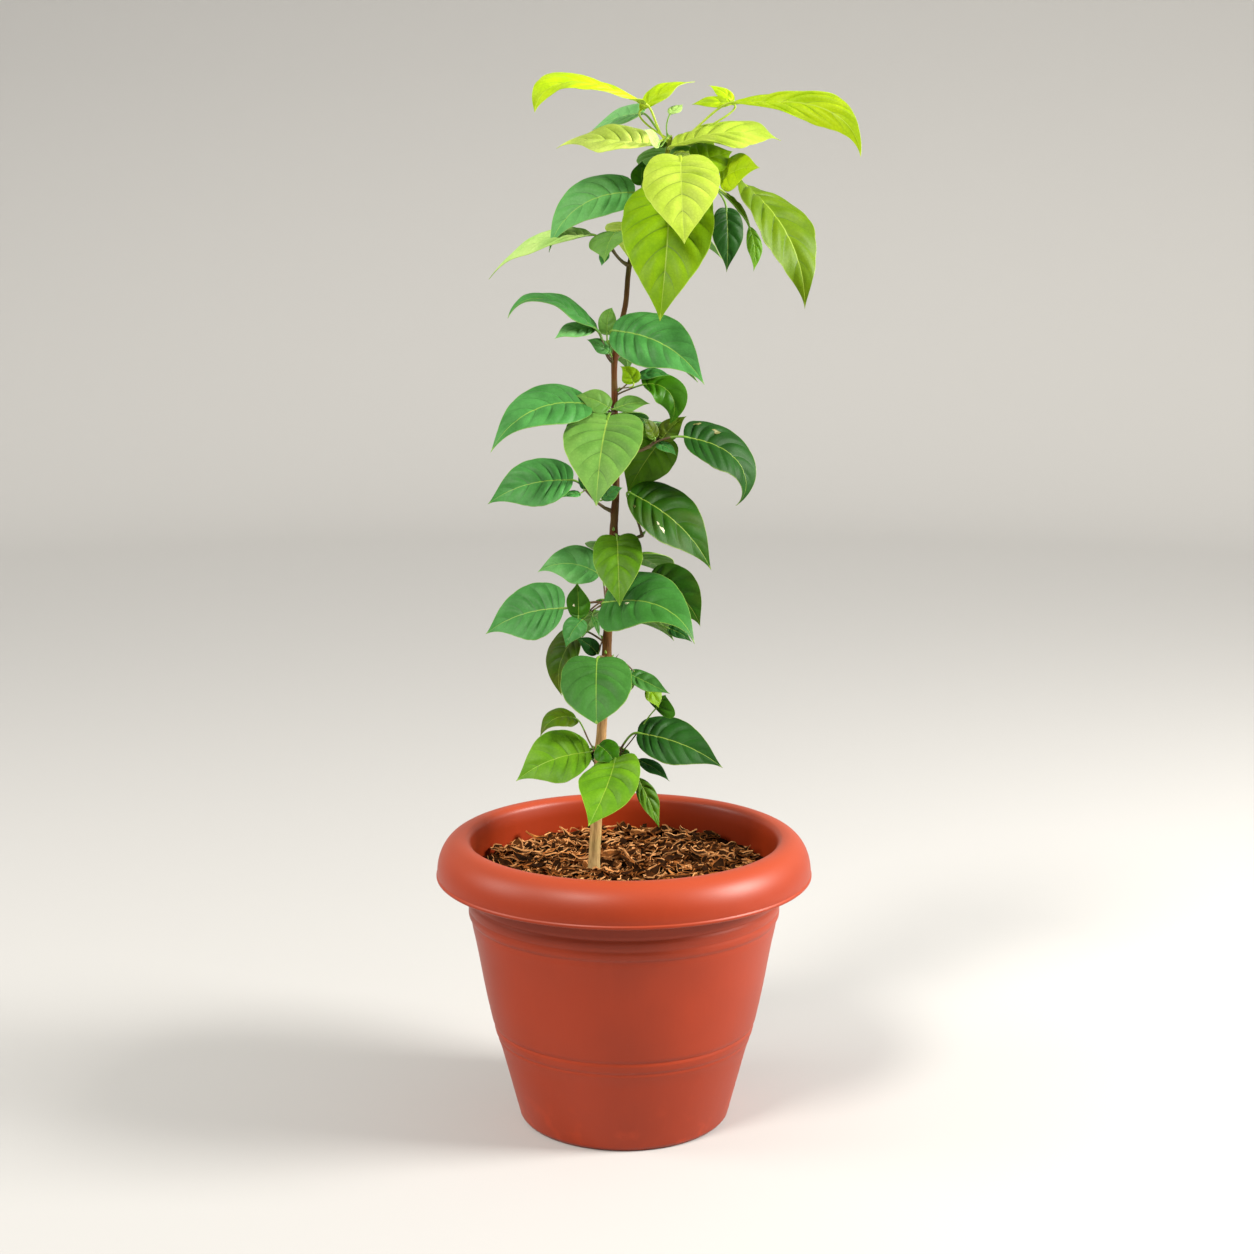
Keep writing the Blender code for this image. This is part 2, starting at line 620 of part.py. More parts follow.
def join(name, pieces, others, finish):
    """One solid from the first piece and a collection of the rest, which is then removed."""
    union = pieces.modifiers.new("joined", "BOOLEAN")
    union.operation = "UNION"
    union.operand_type = "COLLECTION"
    union.collection = others
    union.solver = "EXACT"
    bpy.context.view_layer.update()
    mesh = evaluated_copy(pieces)
    pieces.modifiers.clear()
    pieces.data = mesh
    mesh.name = name
    for piece in list(others.objects):
        bpy.data.objects.remove(piece, do_unlink=True)
    bpy.data.collections.remove(others)
    keep_body(mesh)
    mesh.materials.clear()
    mesh.materials.append(finish_material(finish))
    smooth(mesh)


def make_knob(spot, collection):
    mesh = bpy.data.meshes.new("knob")
    shape = bmesh.new()
    bmesh.ops.create_icosphere(shape, subdivisions=1, radius=KNOB_RADIUS)
    bmesh.ops.translate(shape, verts=shape.verts, vec=spot)
    shape.to_mesh(mesh)
    shape.free()
    return add_object("knob", mesh, collection)


def make_leaf(leaf, number, midrib, ripple, knob, taken, collection):
    """A blade and its stalk, unless the blade would leave its space or touch what is there."""
    if too_near_trunk(leaf, midrib) or leaves_space(leaf, midrib):
        return
    blade = make_blade(f"blade_{number}", leaf, midrib, ripple, collection)
    bpy.context.view_layer.update()
    tree = solid_tree(blade)
    if any(other.overlap(tree) for other in taken):
        bpy.data.objects.remove(blade, do_unlink=True)
        return
    small = leaf.length * MM < SMALL_BLADE
    path = stalk_points(knob, midrib, 2 if small else 3)
    wide = STALK_RADIUS * (SMALL_STALK if small else 1)
    radii = [wide] * (len(path) - 1) + [wide * 0.8]
    tube(f"stalk_{number}", path, radii, STALK_SIDES, collection)


def make_shoot(shoot, taken, collection):
    """A short stem clear of the trunk, with the stalks and blades that leave its knob."""
    height = shoot.height * MM
    middle = trunk_middle(height)
    out = square_to_trunk(height, shoot.heading)
    start = middle + out * (trunk_radius(height) + GAP + STEM_CLEARANCE)
    knob = start + out * shoot.stem * MM + Vector((0, 0, STEM_RISE * shoot.stem * MM))
    points = [start, start + out * 1.5 * MM, knob]
    radii = [STEM_RADIUS * 1.15, STEM_RADIUS, STEM_RADIUS * 0.9]
    stem = tube(shoot.name, points, radii, STEM_SIDES, collection)
    others = new_collection(shoot.name + "_pieces")
    make_knob(knob, others)
    rule = random.Random(shoot.name)
    for number, leaf in enumerate(shoot.leaves, 1):
        midrib = Midrib(leaf, middle + Vector(leaf.foot) * MM)
        make_leaf(leaf, number, midrib, rule.uniform(0, 6), knob, taken, others)
    join(shoot.name, stem, others, shoot.finish)
    taken.append(solid_tree(stem))


def grow_back_shoot(back):
    """A shoot whose leaves are drawn from its seed, fanned out on the side that faces away."""
    rule = random.Random(back.seed)
    leaves = []
    for number in range(back.leaves):
        share = number / max(back.leaves - 1, 1) - 0.5
        heading = back.heading + back.spread * share + rule.uniform(-6, 6)
        out, _, _ = axes(heading, 0)
        reach = 14 + rule.uniform(0, 5)
        foot = (out.x * reach, out.y * reach, 5 + rule.uniform(-3, 3) + 9 * (number % 2))
        length = back.length * rule.uniform(0.9, 1.05)
        leaves.append(Leaf("ovate", foot, heading, rule.uniform(-30, -16), rule.uniform(-12, 12),
                           length, length * 0.6, 35))
    finish = "lime_leaf" if back.height > LIME_ABOVE else "green_leaf"
    return Shoot(back.name, back.height, back.heading, 5, finish, tuple(leaves))


def main():
    clear_scene()
    tree = new_collection("potted_bael_tree")
    make_pot(tree)
    make_potting_mix(tree)
    trunk = make_trunk(tree)
    bpy.context.view_layer.update()
    taken = [solid_tree(trunk)]
    for shoot in SHOOTS:
        make_shoot(shoot, taken, tree)
    for back in BACK_SHOOTS:
        make_shoot(grow_back_shoot(back), taken, tree)


main()
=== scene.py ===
"""Potted bael tree, dressed: fine leaves with sunken veins, bark, a moulded pot and shredded mulch.

Everything is in metres, with the origin in the middle of the pot's underside, +Z up and -Y
towards the side that the sapling's front leaves face. Leaves stand where those of the solids do
and grow by the same rule, with finer skins, stalks and margins.
"""

import math
import random
from collections import namedtuple

import bpy
from bpy.props import FloatProperty, FloatVectorProperty, IntProperty, PointerProperty
from mathutils import Matrix, Vector, noise


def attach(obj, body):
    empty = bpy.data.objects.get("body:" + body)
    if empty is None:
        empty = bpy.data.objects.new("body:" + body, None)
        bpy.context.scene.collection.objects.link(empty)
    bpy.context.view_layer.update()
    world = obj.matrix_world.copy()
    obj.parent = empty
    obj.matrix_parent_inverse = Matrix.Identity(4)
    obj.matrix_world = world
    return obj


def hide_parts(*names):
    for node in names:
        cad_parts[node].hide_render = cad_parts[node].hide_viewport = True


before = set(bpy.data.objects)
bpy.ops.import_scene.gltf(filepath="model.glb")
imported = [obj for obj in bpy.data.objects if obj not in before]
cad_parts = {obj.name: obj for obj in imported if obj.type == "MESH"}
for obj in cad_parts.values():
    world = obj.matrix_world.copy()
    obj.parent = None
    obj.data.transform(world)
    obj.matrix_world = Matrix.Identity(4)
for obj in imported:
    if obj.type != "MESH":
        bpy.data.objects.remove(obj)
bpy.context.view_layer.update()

bl_info = {
    "name": "Potted bael tree",
    "version": (1, 0, 0),
    "blender": (4, 5, 0),
    "location": "3D View > Sidebar > Bael tree",
    "description": "Dresses a young bael tree in its pot: leaves, stalks, bark, mulch and stage",
    "category": "Object",
}

MM = 0.001
BODY = "root"

# ---------------------------------------------------------------- trunk and leaves, measured

# Trunk: (height, right, away) of its bends in millimetres above the pot's underside
TRUNK_BENDS = (
    (205, -24.0, -10.0), (215, -23.8, -10.0), (245, -22.0, -9.0), (315, -18.0, -7.0),
    (383, -13.5, -4.5), (430, -11.0, -3.0), (479, -8.0, -1.5), (510, -6.2, 0.0),
    (550, -7.0, 0.5), (590, -7.4, 0.0), (612, -7.0, 0.0), (632, -3.5, 0.5), (655, 1.5, 0.0),
    (681, 4.0, -0.5), (706, 11.0, -0.5), (732, 20.5, 0.0), (757, 30.0, 0.5), (780, 36.0, 0.0),
)
TRUNK_FOOT_RADIUS = 4.75 * MM
TRUNK_TIP_RADIUS = 1.5 * MM
TRUNK_TAPER_POWER = 1.2
ROOT_FLARE = 0.14  # how much wider the trunk is at the soil
ROOT_FLARE_HEIGHT = 12 * MM
STEM_RISE = 0.12  # of its length, how much a shoot's stem climbs
STALK_LIFT = 0.5  # how much a stalk climbs as it leaves the knob
STALK_LEAD = 0.3  # shares of a stalk's reach over which it leaves the knob
STALK_TRAIL = 0.24  # and comes in line with its blade
STEM_START = 0.4 * MM  # clear of the trunk
FOLD = 11  # degrees that each half of a blade rises from its midrib
RIPPLE = 0.012  # of the blade's length
RIPPLE_TURNS = 9  # radians of wave along a margin
WIDEST_SHARE = 0.45  # of an outline's parameter, where its first curve gives way to its second
LIME_ABOVE = 700  # millimetres above which the back shoots are young and lime green

# Half of a blade's outline as two Bezier curves: (along, across), as shares of length and width
BLADE_OUTLINES = {
    "ovate": ((0, 0), (-0.03, 0.30), (0.10, 0.50), (0.34, 0.50), (0.60, 0.50), (0.78, 0.06), (1, 0)),
    "heart": ((0, 0), (-0.12, 0.36), (0.08, 0.50), (0.34, 0.50), (0.62, 0.50), (0.84, 0.09), (1, 0)),
    "round": ((0, 0), (-0.10, 0.36), (0.06, 0.50), (0.42, 0.50), (0.80, 0.50), (0.90, 0.17), (1, 0)),
    "broad": ((0, 0), (0.02, 0.20), (0.18, 0.42), (0.46, 0.48), (0.74, 0.54), (0.84, 0.12), (1, 0)),
    "lance": ((0, 0), (0.06, 0.24), (0.20, 0.50), (0.42, 0.50), (0.66, 0.50), (0.84, 0.06), (1, 0)),
}

# A leaf's blade begins at foot, in millimetres right of, away from and above the trunk's middle
# where its shoot leaves it. Heading is 0 to the right, 90 away and 180 left, pitch is above
# level, and roll lifts the blade's left side, all in degrees. Length is base to tip and width the
# widest, in millimetres. Droop is how far the midrib bends down and bend how late it does, twist
# is how much more the blade rolls at its tip than at its base, sway is how far the midrib bends to
# its left and wave how frilled the margin is. Tint names its green, and a scar is a dry patch or a
# patch of painted sheen: along, across, hand (1 left of the midrib, -1 right), size in millimetres
# and finish.
Leaf = namedtuple("Leaf", "tint kind foot heading pitch roll length width droop twist sway wave "
                          "bend scars", defaults=(30, 0, 0, 1, 1.2, ()))
# A shoot's stem leaves the trunk at a height, towards a heading, and is some millimetres long.
# Where it has a twig of its own, the twig's end is given as its leaves' feet are.
Shoot = namedtuple("Shoot", "name height heading stem finish leaves young twig",
                   defaults=((), None))
# A back shoot's leaves fan out by a seeded rule on the side that faces away.
BackShoot = namedtuple("BackShoot", "name height heading leaves spread length seed")

SHOOTS = (
    Shoot("shoot_low_left", 304, 195, 5, "green_leaf", (
        Leaf("olive", "ovate", (-19.1, 11, 23.2), -150, -18, -22, 34, 25, 99, 2, 3, 2),
        Leaf("fresh", "ovate", (-8.2, 0.8, -1.4), -171, -20, -41, 63, 51, 38, -41),
    )),
    Shoot("shoot_low_front", 297, -75, 5, "green_leaf", (
        Leaf("deep", "ovate", (-0.9, -9.1, 13.4), -35, -41, 40, 23, 22, 42, -3, -6),
        Leaf("fresh", "heart", (12.4, -16.9, 4.3), -113, -38, -7, 67, 48, 20, -50, -24),
    )),
    Shoot("shoot_low_right", 290, 5, 6, "green_leaf", (
        Leaf("shade", "ovate", (30.1, 0.3, 28.3), -4, -22, 43, 73, 45, 32, 32),
        Leaf("deep", "ovate", (44.5, 7.9, 46.1), -3, 56, 84, 14, 30, -8, 28, 12),
        Leaf("forest", "lance", (30.6, 7.9, 4.6), -25, -28, 23, 31, 14, 31, -18, 1),
        Leaf("clover", "lance", (30.3, 12.1, -11.1), -14, -66, 46, 44, 17, 16, -8, 3),
    )),
    Shoot("shoot_second_left", 392, 170, 4, "green_leaf", (
        Leaf("olive", "ovate", (-21.9, 14, 3.8), -176, -74, -35, 53, 38, 65, -37, 3),
        Leaf("forest", "ovate", (-8, 2, -11), -172, 36, -80, 22, 13, 40),
    )),
    Shoot("shoot_second_front", 381, -100, 5, "green_leaf", (
        Leaf("mid", "round", (-7.3, -13, -0.9), -90, -43, 0, 62, 55, 45, 0, 4, 1.3),
    )),
    Shoot("shoot_second_right", 377, 0, 4, "green_leaf", (
        Leaf("mid", "ovate", (17, -3.3, -10.3), -13, -24, 29, 37, 21, 4, 26, 5),
    ), (
        Leaf("lime_green", "lance", (31.8, -1.1, -21.7), -20, -59, 35, 19, 16, 37, 3, -2),
    )),
    Shoot("shoot_third_left", 421, 190, 5, "green_leaf", (
        Leaf("pale_teal", "ovate", (-7.6, 13.4, 21.1), 179, 2, -48, 49, 36, 62, -23, 10),
        Leaf("teal", "ovate", (-35.4, -5.9, -2.5), -193, -20, -54, 68, 51, 36, -22, 2),
        Leaf("deep", "ovate", (-23.9, -11.1, -9.1), -95, 72, 164, 31, 20, 51, 16,
             scars=((0.55, 0.3, 1, 1.5, "dry_patch"),)),
        Leaf("teal", "ovate", (-20.7, -12, -10.2), -150, -55, -35, 26, 20, 40, -8),
        Leaf("mid", "ovate", (-13, -10.1, -7.9), -51, -61, -5, 18, 7, 29, 3),
    )),
    Shoot("shoot_third_front", 416, -70, 5, "green_leaf", (
        Leaf("sea", "ovate", (-4, -14, 8.5), -34, -16, 34, 87, 65, 91, -35, 17, bend=1.8,
             scars=((0.56, 0.12, -1, 3.2, "dry_patch"),)),
    )),
    Shoot("shoot_third_right", 428, 20, 6, "green_leaf", (
        Leaf("moss", "ovate", (30.7, 9.2, 9.3), -6, -41, 81, 54, 41, 56, -2, -4),
        Leaf("forest", "ovate", (46, 9, -28), -12, -29, 45, 22, 11),
    )),
    Shoot("shoot_fourth_front", 478, -90, 5, "green_leaf", (
        Leaf("clover", "heart", (2.9, -12, -2.6), -87, -52, 8, 61, 38, 33, 8, 2),
    )),
    Shoot("shoot_fourth_right", 474, -5, 19, "green_leaf", (
        Leaf("moss", "ovate", (12.9, -6, 34.9), -7, -43, 39, 87, 56, 40, 37, -2,
             scars=((0.6, 0.6, -1, 4.2, "dry_patch"), (0.56, 0.52, -1, 2.4, "dry_patch"),
                    (0.3, 0.5, -1, 3, "rusty_patch"))),
    )),
    Shoot("shoot_fifth_left", 494, 185, 9, "green_leaf", (
        Leaf("teal", "ovate", (-32.6, -6.8, 24.7), -182, -16, -49, 69, 47, 40, -40, 1),
    ), (
        Leaf("forest", "ovate", (-24, -9, 18), -120, 60, 170, 16, 9, 40),
        Leaf("teal", "ovate", (-27, -9, 15), -148, -8, -30, 17, 9),
        Leaf("teal", "lance", (-10.1, -10.9, 9.8), -6, 31, 54, 19, 13, 31, 2),
    ), (-22, -5, 17)),
    Shoot("shoot_sixth_front", 572, -95, 5, "green_leaf", (
        Leaf("teal", "ovate", (-19.8, -12, 5.7), -149, -21, -32, 91, 46, 70, 10, 1),
        Leaf("sage", "ovate", (-3.5, -12, 2.7), -178, 20, -55, 28, 21, 33, -17, 1),
        Leaf("sage", "lance", (-0.3, -13, 2.2), 3, 8, 45, 28, 16, 37, 3, -2),
        Leaf("sage", "heart", (-4.3, -18.1, -2.6), -98, -44, -3, 89, 60, 42, 2, 2),
    )),
    Shoot("shoot_sixth_right", 540, 10, 24, "green_leaf", (
        Leaf("clover", "heart", (38.3, 12, 11.2), -175, -57, -85, 53, 40, 18, 5, -4),
        Leaf("teal", "ovate", (33, 7, 6), -41, -24, 26, 21, 11),
        Leaf("olive", "ovate", (36, 6, 9), 15, 41, 60, 27, 17),
        Leaf("shade", "ovate", (53.3, 0, 11.6), 5, -53, 36, 68, 48, 114, -9, -31, 1.4, bend=2.2,
             scars=((0.32, 0.62, 1, 5, "rusty_patch"), (0.5, 0.45, 1, 4, "rusty_patch"))),
    ), (
        Leaf("olive", "ovate", (31, 3, 10), -152, 56, -75, 20, 13),
    )),
    Shoot("shoot_seventh_right", 586, -15, 6, "green_leaf", (
        Leaf("bright", "ovate", (22.1, -5.1, 6.3), -2, -57, 33, 37, 31, 91, 30, -96),
        Leaf("teal", "ovate", (18.6, 2, 12.9), -14, 0, 25, 25, 18, 38, 5, -2),
    ), (
        Leaf("lime_green", "ovate", (14.9, -12, 7.6), 162, 50, -66, 17, 15, 47, -5, 5),
    )),
    Shoot("shoot_eighth_left", 611, 180, 5, "green_leaf", (
        Leaf("teal", "ovate", (-12.9, -5.1, 22.6), -153, 8, -21, 76, 38, 104, 9, 6, 2.6, bend=2.6),
        Leaf("jade", "lance", (-14.9, -7.9, 23.2), -146, -9, -33, 37, 18, 41, -3, 2),
        Leaf("sage", "ovate", (-5.9, -2.9, 19.3), 74, 53, 17, 25, 14, 89, 4, -2),
        Leaf("pale_teal", "lance", (-3.4, -5, 5.3), -169, 30, -56, 21, 13, 29, -5),
    )),
    Shoot("shoot_eighth_front", 622, -70, 5, "green_leaf", (
        Leaf("teal", "ovate", (-3.3, -14, 11.9), -20, -28, 49, 84, 50, 54, 17, -3),
    )),
    Shoot("shoot_ninth_left", 683, 190, 7, "green_leaf", (
        Leaf("mint", "lance", (-28.8, -4, 22.9), -188, -23, -20, 87, 34, 53, 10, 5),
    ), (
        Leaf("teal", "lance", (-17, -10, 12), -133, -64, -33, 14, 8),
        Leaf("sage", "ovate", (-10.4, -7.1, 25), -112, -45, 16, 32, 40, 58, 34, 3),
    ), (-14, -4, 13)),
    Shoot("shoot_tenth_left", 732, 190, 5, "green_leaf", (
        Leaf("deep", "ovate", (-6.9, 5, 10.8), 88, 55, 4, 23, 17, 35, 5, -2),
        Leaf("pale_teal", "ovate", (-12, 7.1, 5.3), -171, -34, -42, 80, 44, 80, 17, 2),
    )),
    Shoot("shoot_tenth_front", 745, -85, 6, "lime_leaf", (
        Leaf("lime_pale", "heart", (16.8, -32, 17.7), -88, -52, 4, 80, 57, 33, 7, 5, 1.6),
        Leaf("lime_green", "heart", (8.6, -14, -3.8), -98, -61, 0, 112, 69, 36, -10, -12, 1.4),
    )),
    Shoot("shoot_tenth_right", 752, 0, 36, "lime_leaf", (
        Leaf("lime_green", "ovate", (24.9, -12.1, 9.1), 35, 11, 42, 37, 33, 5, 22, 11),
        Leaf("lime", "ovate", (44.9, -4.1, -5.4), -40, 13, 60, 38, 33, 44, 1, 4),
        Leaf("apple", "lance", (48, 5, -14.3), 10, -53, 45, 36, 7, 35, -6, -1),
        Leaf("fresh", "lance", (67.5, 5, -40.1), -42, -82, 14, 34, 14, 41, 4, -3),
        Leaf("apple", "ovate", (61.6, -4.9, -7.7), -31, -60, 16, 108, 58, 57, 79, -1, 3),
        Leaf("shade", "ovate", (50.7, 25, -26), -72, -88, -4, 49, 27, 30, 9, 1),
    )),
    Shoot("shoot_crown_left", 777, 170, 6, "lime_leaf", (
        Leaf("lime", "broad", (-18.8, -0.2, 25.9), -155, -5, -15, 91, 46, 105, -25, 12, 2.6, bend=3.4),
        Leaf("lime", "lance", (-22.8, 5, 21.4), 13, 27, 23, 48, 22, 42, -24, -4, 2),
        Leaf("mint", "lance", (-0.5, -0.1, 18.1), 47, 28, 14, 17, 11),
        Leaf("jade", "ovate", (-21.1, 15, 19.7), 134, -11, -38, 57, 30, 25, -12, -2),
        Leaf("lime_cream", "ovate", (-12.2, -10.1, -3.9), -195, -2, -28, 77, 39, 40, -18, -5, 2.5, bend=3.5),
    ), (
        Leaf("mint", "ovate", (-8.7, -15, -5.4), -140, 38, -65, 19, 14, 28, -9, -1),
    )),
    Shoot("shoot_crown_right", 772, -10, 5, "lime_leaf", (
        Leaf("lime_pale", "broad", (2, -10, -0.3), 11, 3, 28, 85, 39, 45, 10, 5, 3.5),
        Leaf("lime", "lance", (48.1, 5, 31.2), 169, 0, -45, 31, 13, 24, -5, -1),
        Leaf("lime", "lance", (49.2, 10, 33.3), 149, 30, -24, 25, 13, 31, 6, 1),
        Leaf("lime", "broad", (47.7, -0.1, 32), -32, -21, 44, 116, 29, 90, 75, 2, 1.8, bend=3),
    )),
)
BACK_SHOOTS = (
    BackShoot("shoot_back_1", 287, 85, 3, 60, 60, 11),
    BackShoot("shoot_back_2", 350, 95, 2, 36, 58, 12),
    BackShoot("shoot_back_3", 406, 80, 3, 60, 66, 13),
    BackShoot("shoot_back_4", 452, 72, 2, 34, 68, 14),
    BackShoot("shoot_back_5", 552, 80, 3, 66, 72, 15),
    BackShoot("shoot_back_6", 614, 60, 2, 50, 70, 16),
    BackShoot("shoot_back_7", 704, 66, 3, 50, 80, 17),
    BackShoot("shoot_back_8", 764, 66, 3, 40, 76, 18),
)
BACK_TINTS = ("teal", "mid", "sage", "forest", "fresh")
BACK_LIME_TINTS = ("lime_green", "lime", "fresh")

# ---------------------------------------------------------------- colours

# Greens of the upper face: colour, the deeper shade it is mottled with, roughness
LEAF_TINTS = {
    "lime": ((0.46, 0.64, 0.006), (0.34, 0.54, 0.003), 0.42),
    "lime_pale": ((0.44, 0.575, 0.06), (0.35, 0.50, 0.032), 0.45),
    # a lighter copy of lime_pale: painted light for a blade that lies in shadow
    "lime_cream": ((0.70, 0.85, 0.17), (0.60, 0.78, 0.10), 0.45),
    "lime_green": ((0.19, 0.345, 0.001), (0.125, 0.265, 0.001), 0.42),
    "fresh": ((0.125, 0.29, 0.010), (0.08, 0.22, 0.006), 0.40),
    "bright": ((0.040, 0.16, 0.002), (0.026, 0.11, 0.001), 0.40),
    "apple": ((0.120, 0.205, 0.001), (0.085, 0.165, 0.001), 0.44),
    "clover": ((0.085, 0.21, 0.006), (0.055, 0.155, 0.004), 0.40),
    "moss": ((0.017, 0.084, 0.001), (0.032, 0.078, 0.002), 0.47),
    "mid": ((0.050, 0.175, 0.029), (0.030, 0.125, 0.015), 0.42),
    "sage": ((0.145, 0.305, 0.054), (0.092, 0.235, 0.036), 0.44),
    "teal": ((0.074, 0.275, 0.062), (0.040, 0.18, 0.034), 0.38),
    "sea": ((0.042, 0.175, 0.028), (0.026, 0.12, 0.016), 0.38),
    # a lighter copy of the pale teal green: painted light for blades that lie in shadow or face down
    "jade": ((0.20, 0.47, 0.16), (0.13, 0.38, 0.11), 0.38),
    # a paler copy of teal: painted sheen, and painted light on blades that lie in shadow
    "pale_teal": ((0.13, 0.38, 0.10), (0.075, 0.28, 0.065), 0.38),
    # a darker copy of forest: painted shade for blades that lie in shadow
    "shade": ((0.012, 0.074, 0.005), (0.008, 0.048, 0.003), 0.48),
    "forest": ((0.020, 0.115, 0.016), (0.011, 0.07, 0.008), 0.44),
    "deep": ((0.034, 0.14, 0.002), (0.020, 0.09, 0.001), 0.38),
    "olive": ((0.055, 0.14, 0.001), (0.075, 0.095, 0.004), 0.42),
    "mint": ((0.48, 0.68, 0.20), (0.34, 0.58, 0.14), 0.45),
}
LIME_TINTS = ("lime", "lime_pale", "lime_cream", "lime_green", "apple")
RIB_COLOUR = (0.46, 0.60, 0.07)
# What each tint is mixed with for its midrib, creases and margin, and how much. The creases along the side
# veins are darkened as painted shade
TRIM_SHARES = {
    "rib_": (RIB_COLOUR, 0.42), "crease_": ((0.01, 0.05, 0.0), 0.48), "margin_": (RIB_COLOUR, 0.3),
}
TRIM_PATCHES = 0.3  # how far their patches go towards the blade's own
TRIM_SPECULAR = 0.3
TRIM_ROUGHER = 0.05  # than the blade
UNDER_COLOURS = {
    "under_lime": (0.46, 0.64, 0.06), "underrib_lime": (0.62, 0.74, 0.12),
    "under_green": (0.14, 0.34, 0.06), "underrib_green": (0.24, 0.42, 0.09),
}
UNDER_SHADE = ((0.2, 0.4, 0.1), 0.3)  # what they are mottled with, and how far
UNDER_ROUGHNESS = 0.55
# Finishes of the scars and stalks: colour, patches, roughness and the patches' scale
SMALL_FINISHES = {
    "dry_patch": ((0.62, 0.58, 0.40), (0.42, 0.40, 0.22), 0.7, 300),
    # a beige patch that paints a sheen on dark blades: painted sheen
    "rusty_patch": ((0.20, 0.19, 0.05), (0.14, 0.16, 0.03), 0.6, 300),
    "stalk_green": ((0.17, 0.34, 0.03), (0.12, 0.24, 0.02), 0.42, 150),
    "stalk_lime": ((0.44, 0.58, 0.03), (0.30, 0.46, 0.02), 0.42, 150),
    "stalk_brown": ((0.115, 0.055, 0.022), (0.09, 0.09, 0.02), 0.5, 120),
}


class PotSettings(bpy.types.PropertyGroup):
    colour: FloatVectorProperty(
        name="Colour", description="Terracotta-coloured plastic of the pot",
        default=(0.315, 0.029, 0.0035), size=3, min=0, max=1, subtype="COLOR")
    roughness: FloatProperty(
        name="Roughness", description="How satin the plastic is",
        default=0.41, min=0, max=1, subtype="FACTOR")
    sides: IntProperty(
        name="Sides", description="Faces round the pot", default=180, min=24)


class MulchSettings(bpy.types.PropertyGroup):
    chips: IntProperty(
        name="Chips", description="Curled flakes of bark and husk", default=900, min=0)
    fibres: IntProperty(
        name="Fibres", description="Thin fibres between the flakes", default=140, min=0)
    depth: FloatProperty(
        name="Loose depth", description="How deep the loose layer is",
        default=0.009, min=0, unit="LENGTH", subtype="DISTANCE")
    seed: IntProperty(name="Seed", description="Which way the strips fall", default=7)


class BarkSettings(bpy.types.PropertyGroup):
    relief: FloatProperty(
        name="Relief", description="Height of the ridges along the bark",
        default=0.00022, min=0, unit="LENGTH", subtype="DISTANCE", precision=5)
    step: FloatProperty(
        name="Step", description="Spacing of the rings of faces up the trunk",
        default=0.0015, min=0.0005, unit="LENGTH", subtype="DISTANCE", precision=4)
    sides: IntProperty(name="Sides", description="Faces round the trunk", default=32, min=8)


class LeafSettings(bpy.types.PropertyGroup):
    thickness: FloatProperty(
        name="Thickness", description="Thickness of a blade",
        default=0.0004, min=0.0001, unit="LENGTH", subtype="DISTANCE", precision=5)
    quilting: FloatProperty(
        name="Quilting", description="How far the blade swells between its veins, per spacing",
        default=0.16, min=0, max=0.4, subtype="FACTOR")
    veins: IntProperty(
        name="Veins", description="Side veins on each half of a large blade", default=6, min=2)
    stalk: FloatProperty(
        name="Stalk radius", description="Radius of a large leaf's stalk",
        default=0.00105, min=0.0002, unit="LENGTH", subtype="DISTANCE", precision=5)


class StageSettings(bpy.types.PropertyGroup):
    floor: FloatVectorProperty(
        name="Floor", description="Colour of the plain floor and its backdrop",
        default=(0.51, 0.505, 0.495), size=3, min=0, max=1, subtype="COLOR")
    sun: FloatProperty(
        name="Sun", description="Strength of the broad light high on the left, in front",
        default=2.15, min=0)
    sun_width: FloatProperty(
        name="Sun width", description="How broad that light is, which softens its shadows",
        default=math.radians(15), min=0, unit="ROTATION", subtype="ANGLE")
    key: FloatProperty(
        name="Right light", description="Power of the soft panel on the right",
        default=100, min=0, unit="POWER")
    fill: FloatProperty(
        name="Left light", description="Power of the soft panel on the left",
        default=20, min=0, unit="POWER")
    sky: FloatProperty(
        name="Sky", description="Strength of the even light all round", default=0.45, min=0)
    lens: FloatProperty(
        name="Lens", description="Focal length of the camera, in millimetres",
        default=64.3, min=10)


# ---------------------------------------------------------------- mesh helpers

class Shell:
    """Gathers points and faces, each face with the name of its material, for one piece."""

    def __init__(self):
        self.points = []
        self.faces = []
        self.finishes = []

    def add(self, points, faces, finish):
        """Adds faces that index their own points. finish is one name, or one for each face."""
        first = len(self.points)
        self.points.extend(points)
        self.faces.extend(tuple(first + corner for corner in face) for face in faces)
        names = [finish] * len(faces) if isinstance(finish, str) else finish
        self.finishes.extend(names)

    def piece(self, name, slot, *nodes, sharp_above=40):
        """Makes the object, which rides on the plant's body and stands for the named nodes."""
        mesh = bpy.data.meshes.new(name)
        mesh.from_pydata(self.points, [], self.faces)
        used = sorted(set(self.finishes))
        for finish in used:
            mesh.materials.append(bpy.data.materials[finish])
        places = {finish: place for place, finish in enumerate(used)}
        mesh.polygons.foreach_set("material_index", [places[f] for f in self.finishes])
        mesh.validate()
        mesh.shade_smooth()
        mesh.set_sharp_from_angle(angle=math.radians(sharp_above))
        thing = bpy.data.objects.new(name, mesh)
        plant_collection().objects.link(thing)
        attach(thing, BODY)
        if nodes:
            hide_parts(*nodes)


def plant_collection():
    """The collection that holds the plant's pieces."""
    name = "potted_bael_tree"
    found = bpy.data.collections.get(name)
    if found is None:
        found = bpy.data.collections.new(name)
        bpy.context.scene.collection.children.link(found)
    return found


def mix(first, second, share):
    return first + (second - first) * share


def clamp(value, low=0, high=1):
    return min(max(value, low), high)


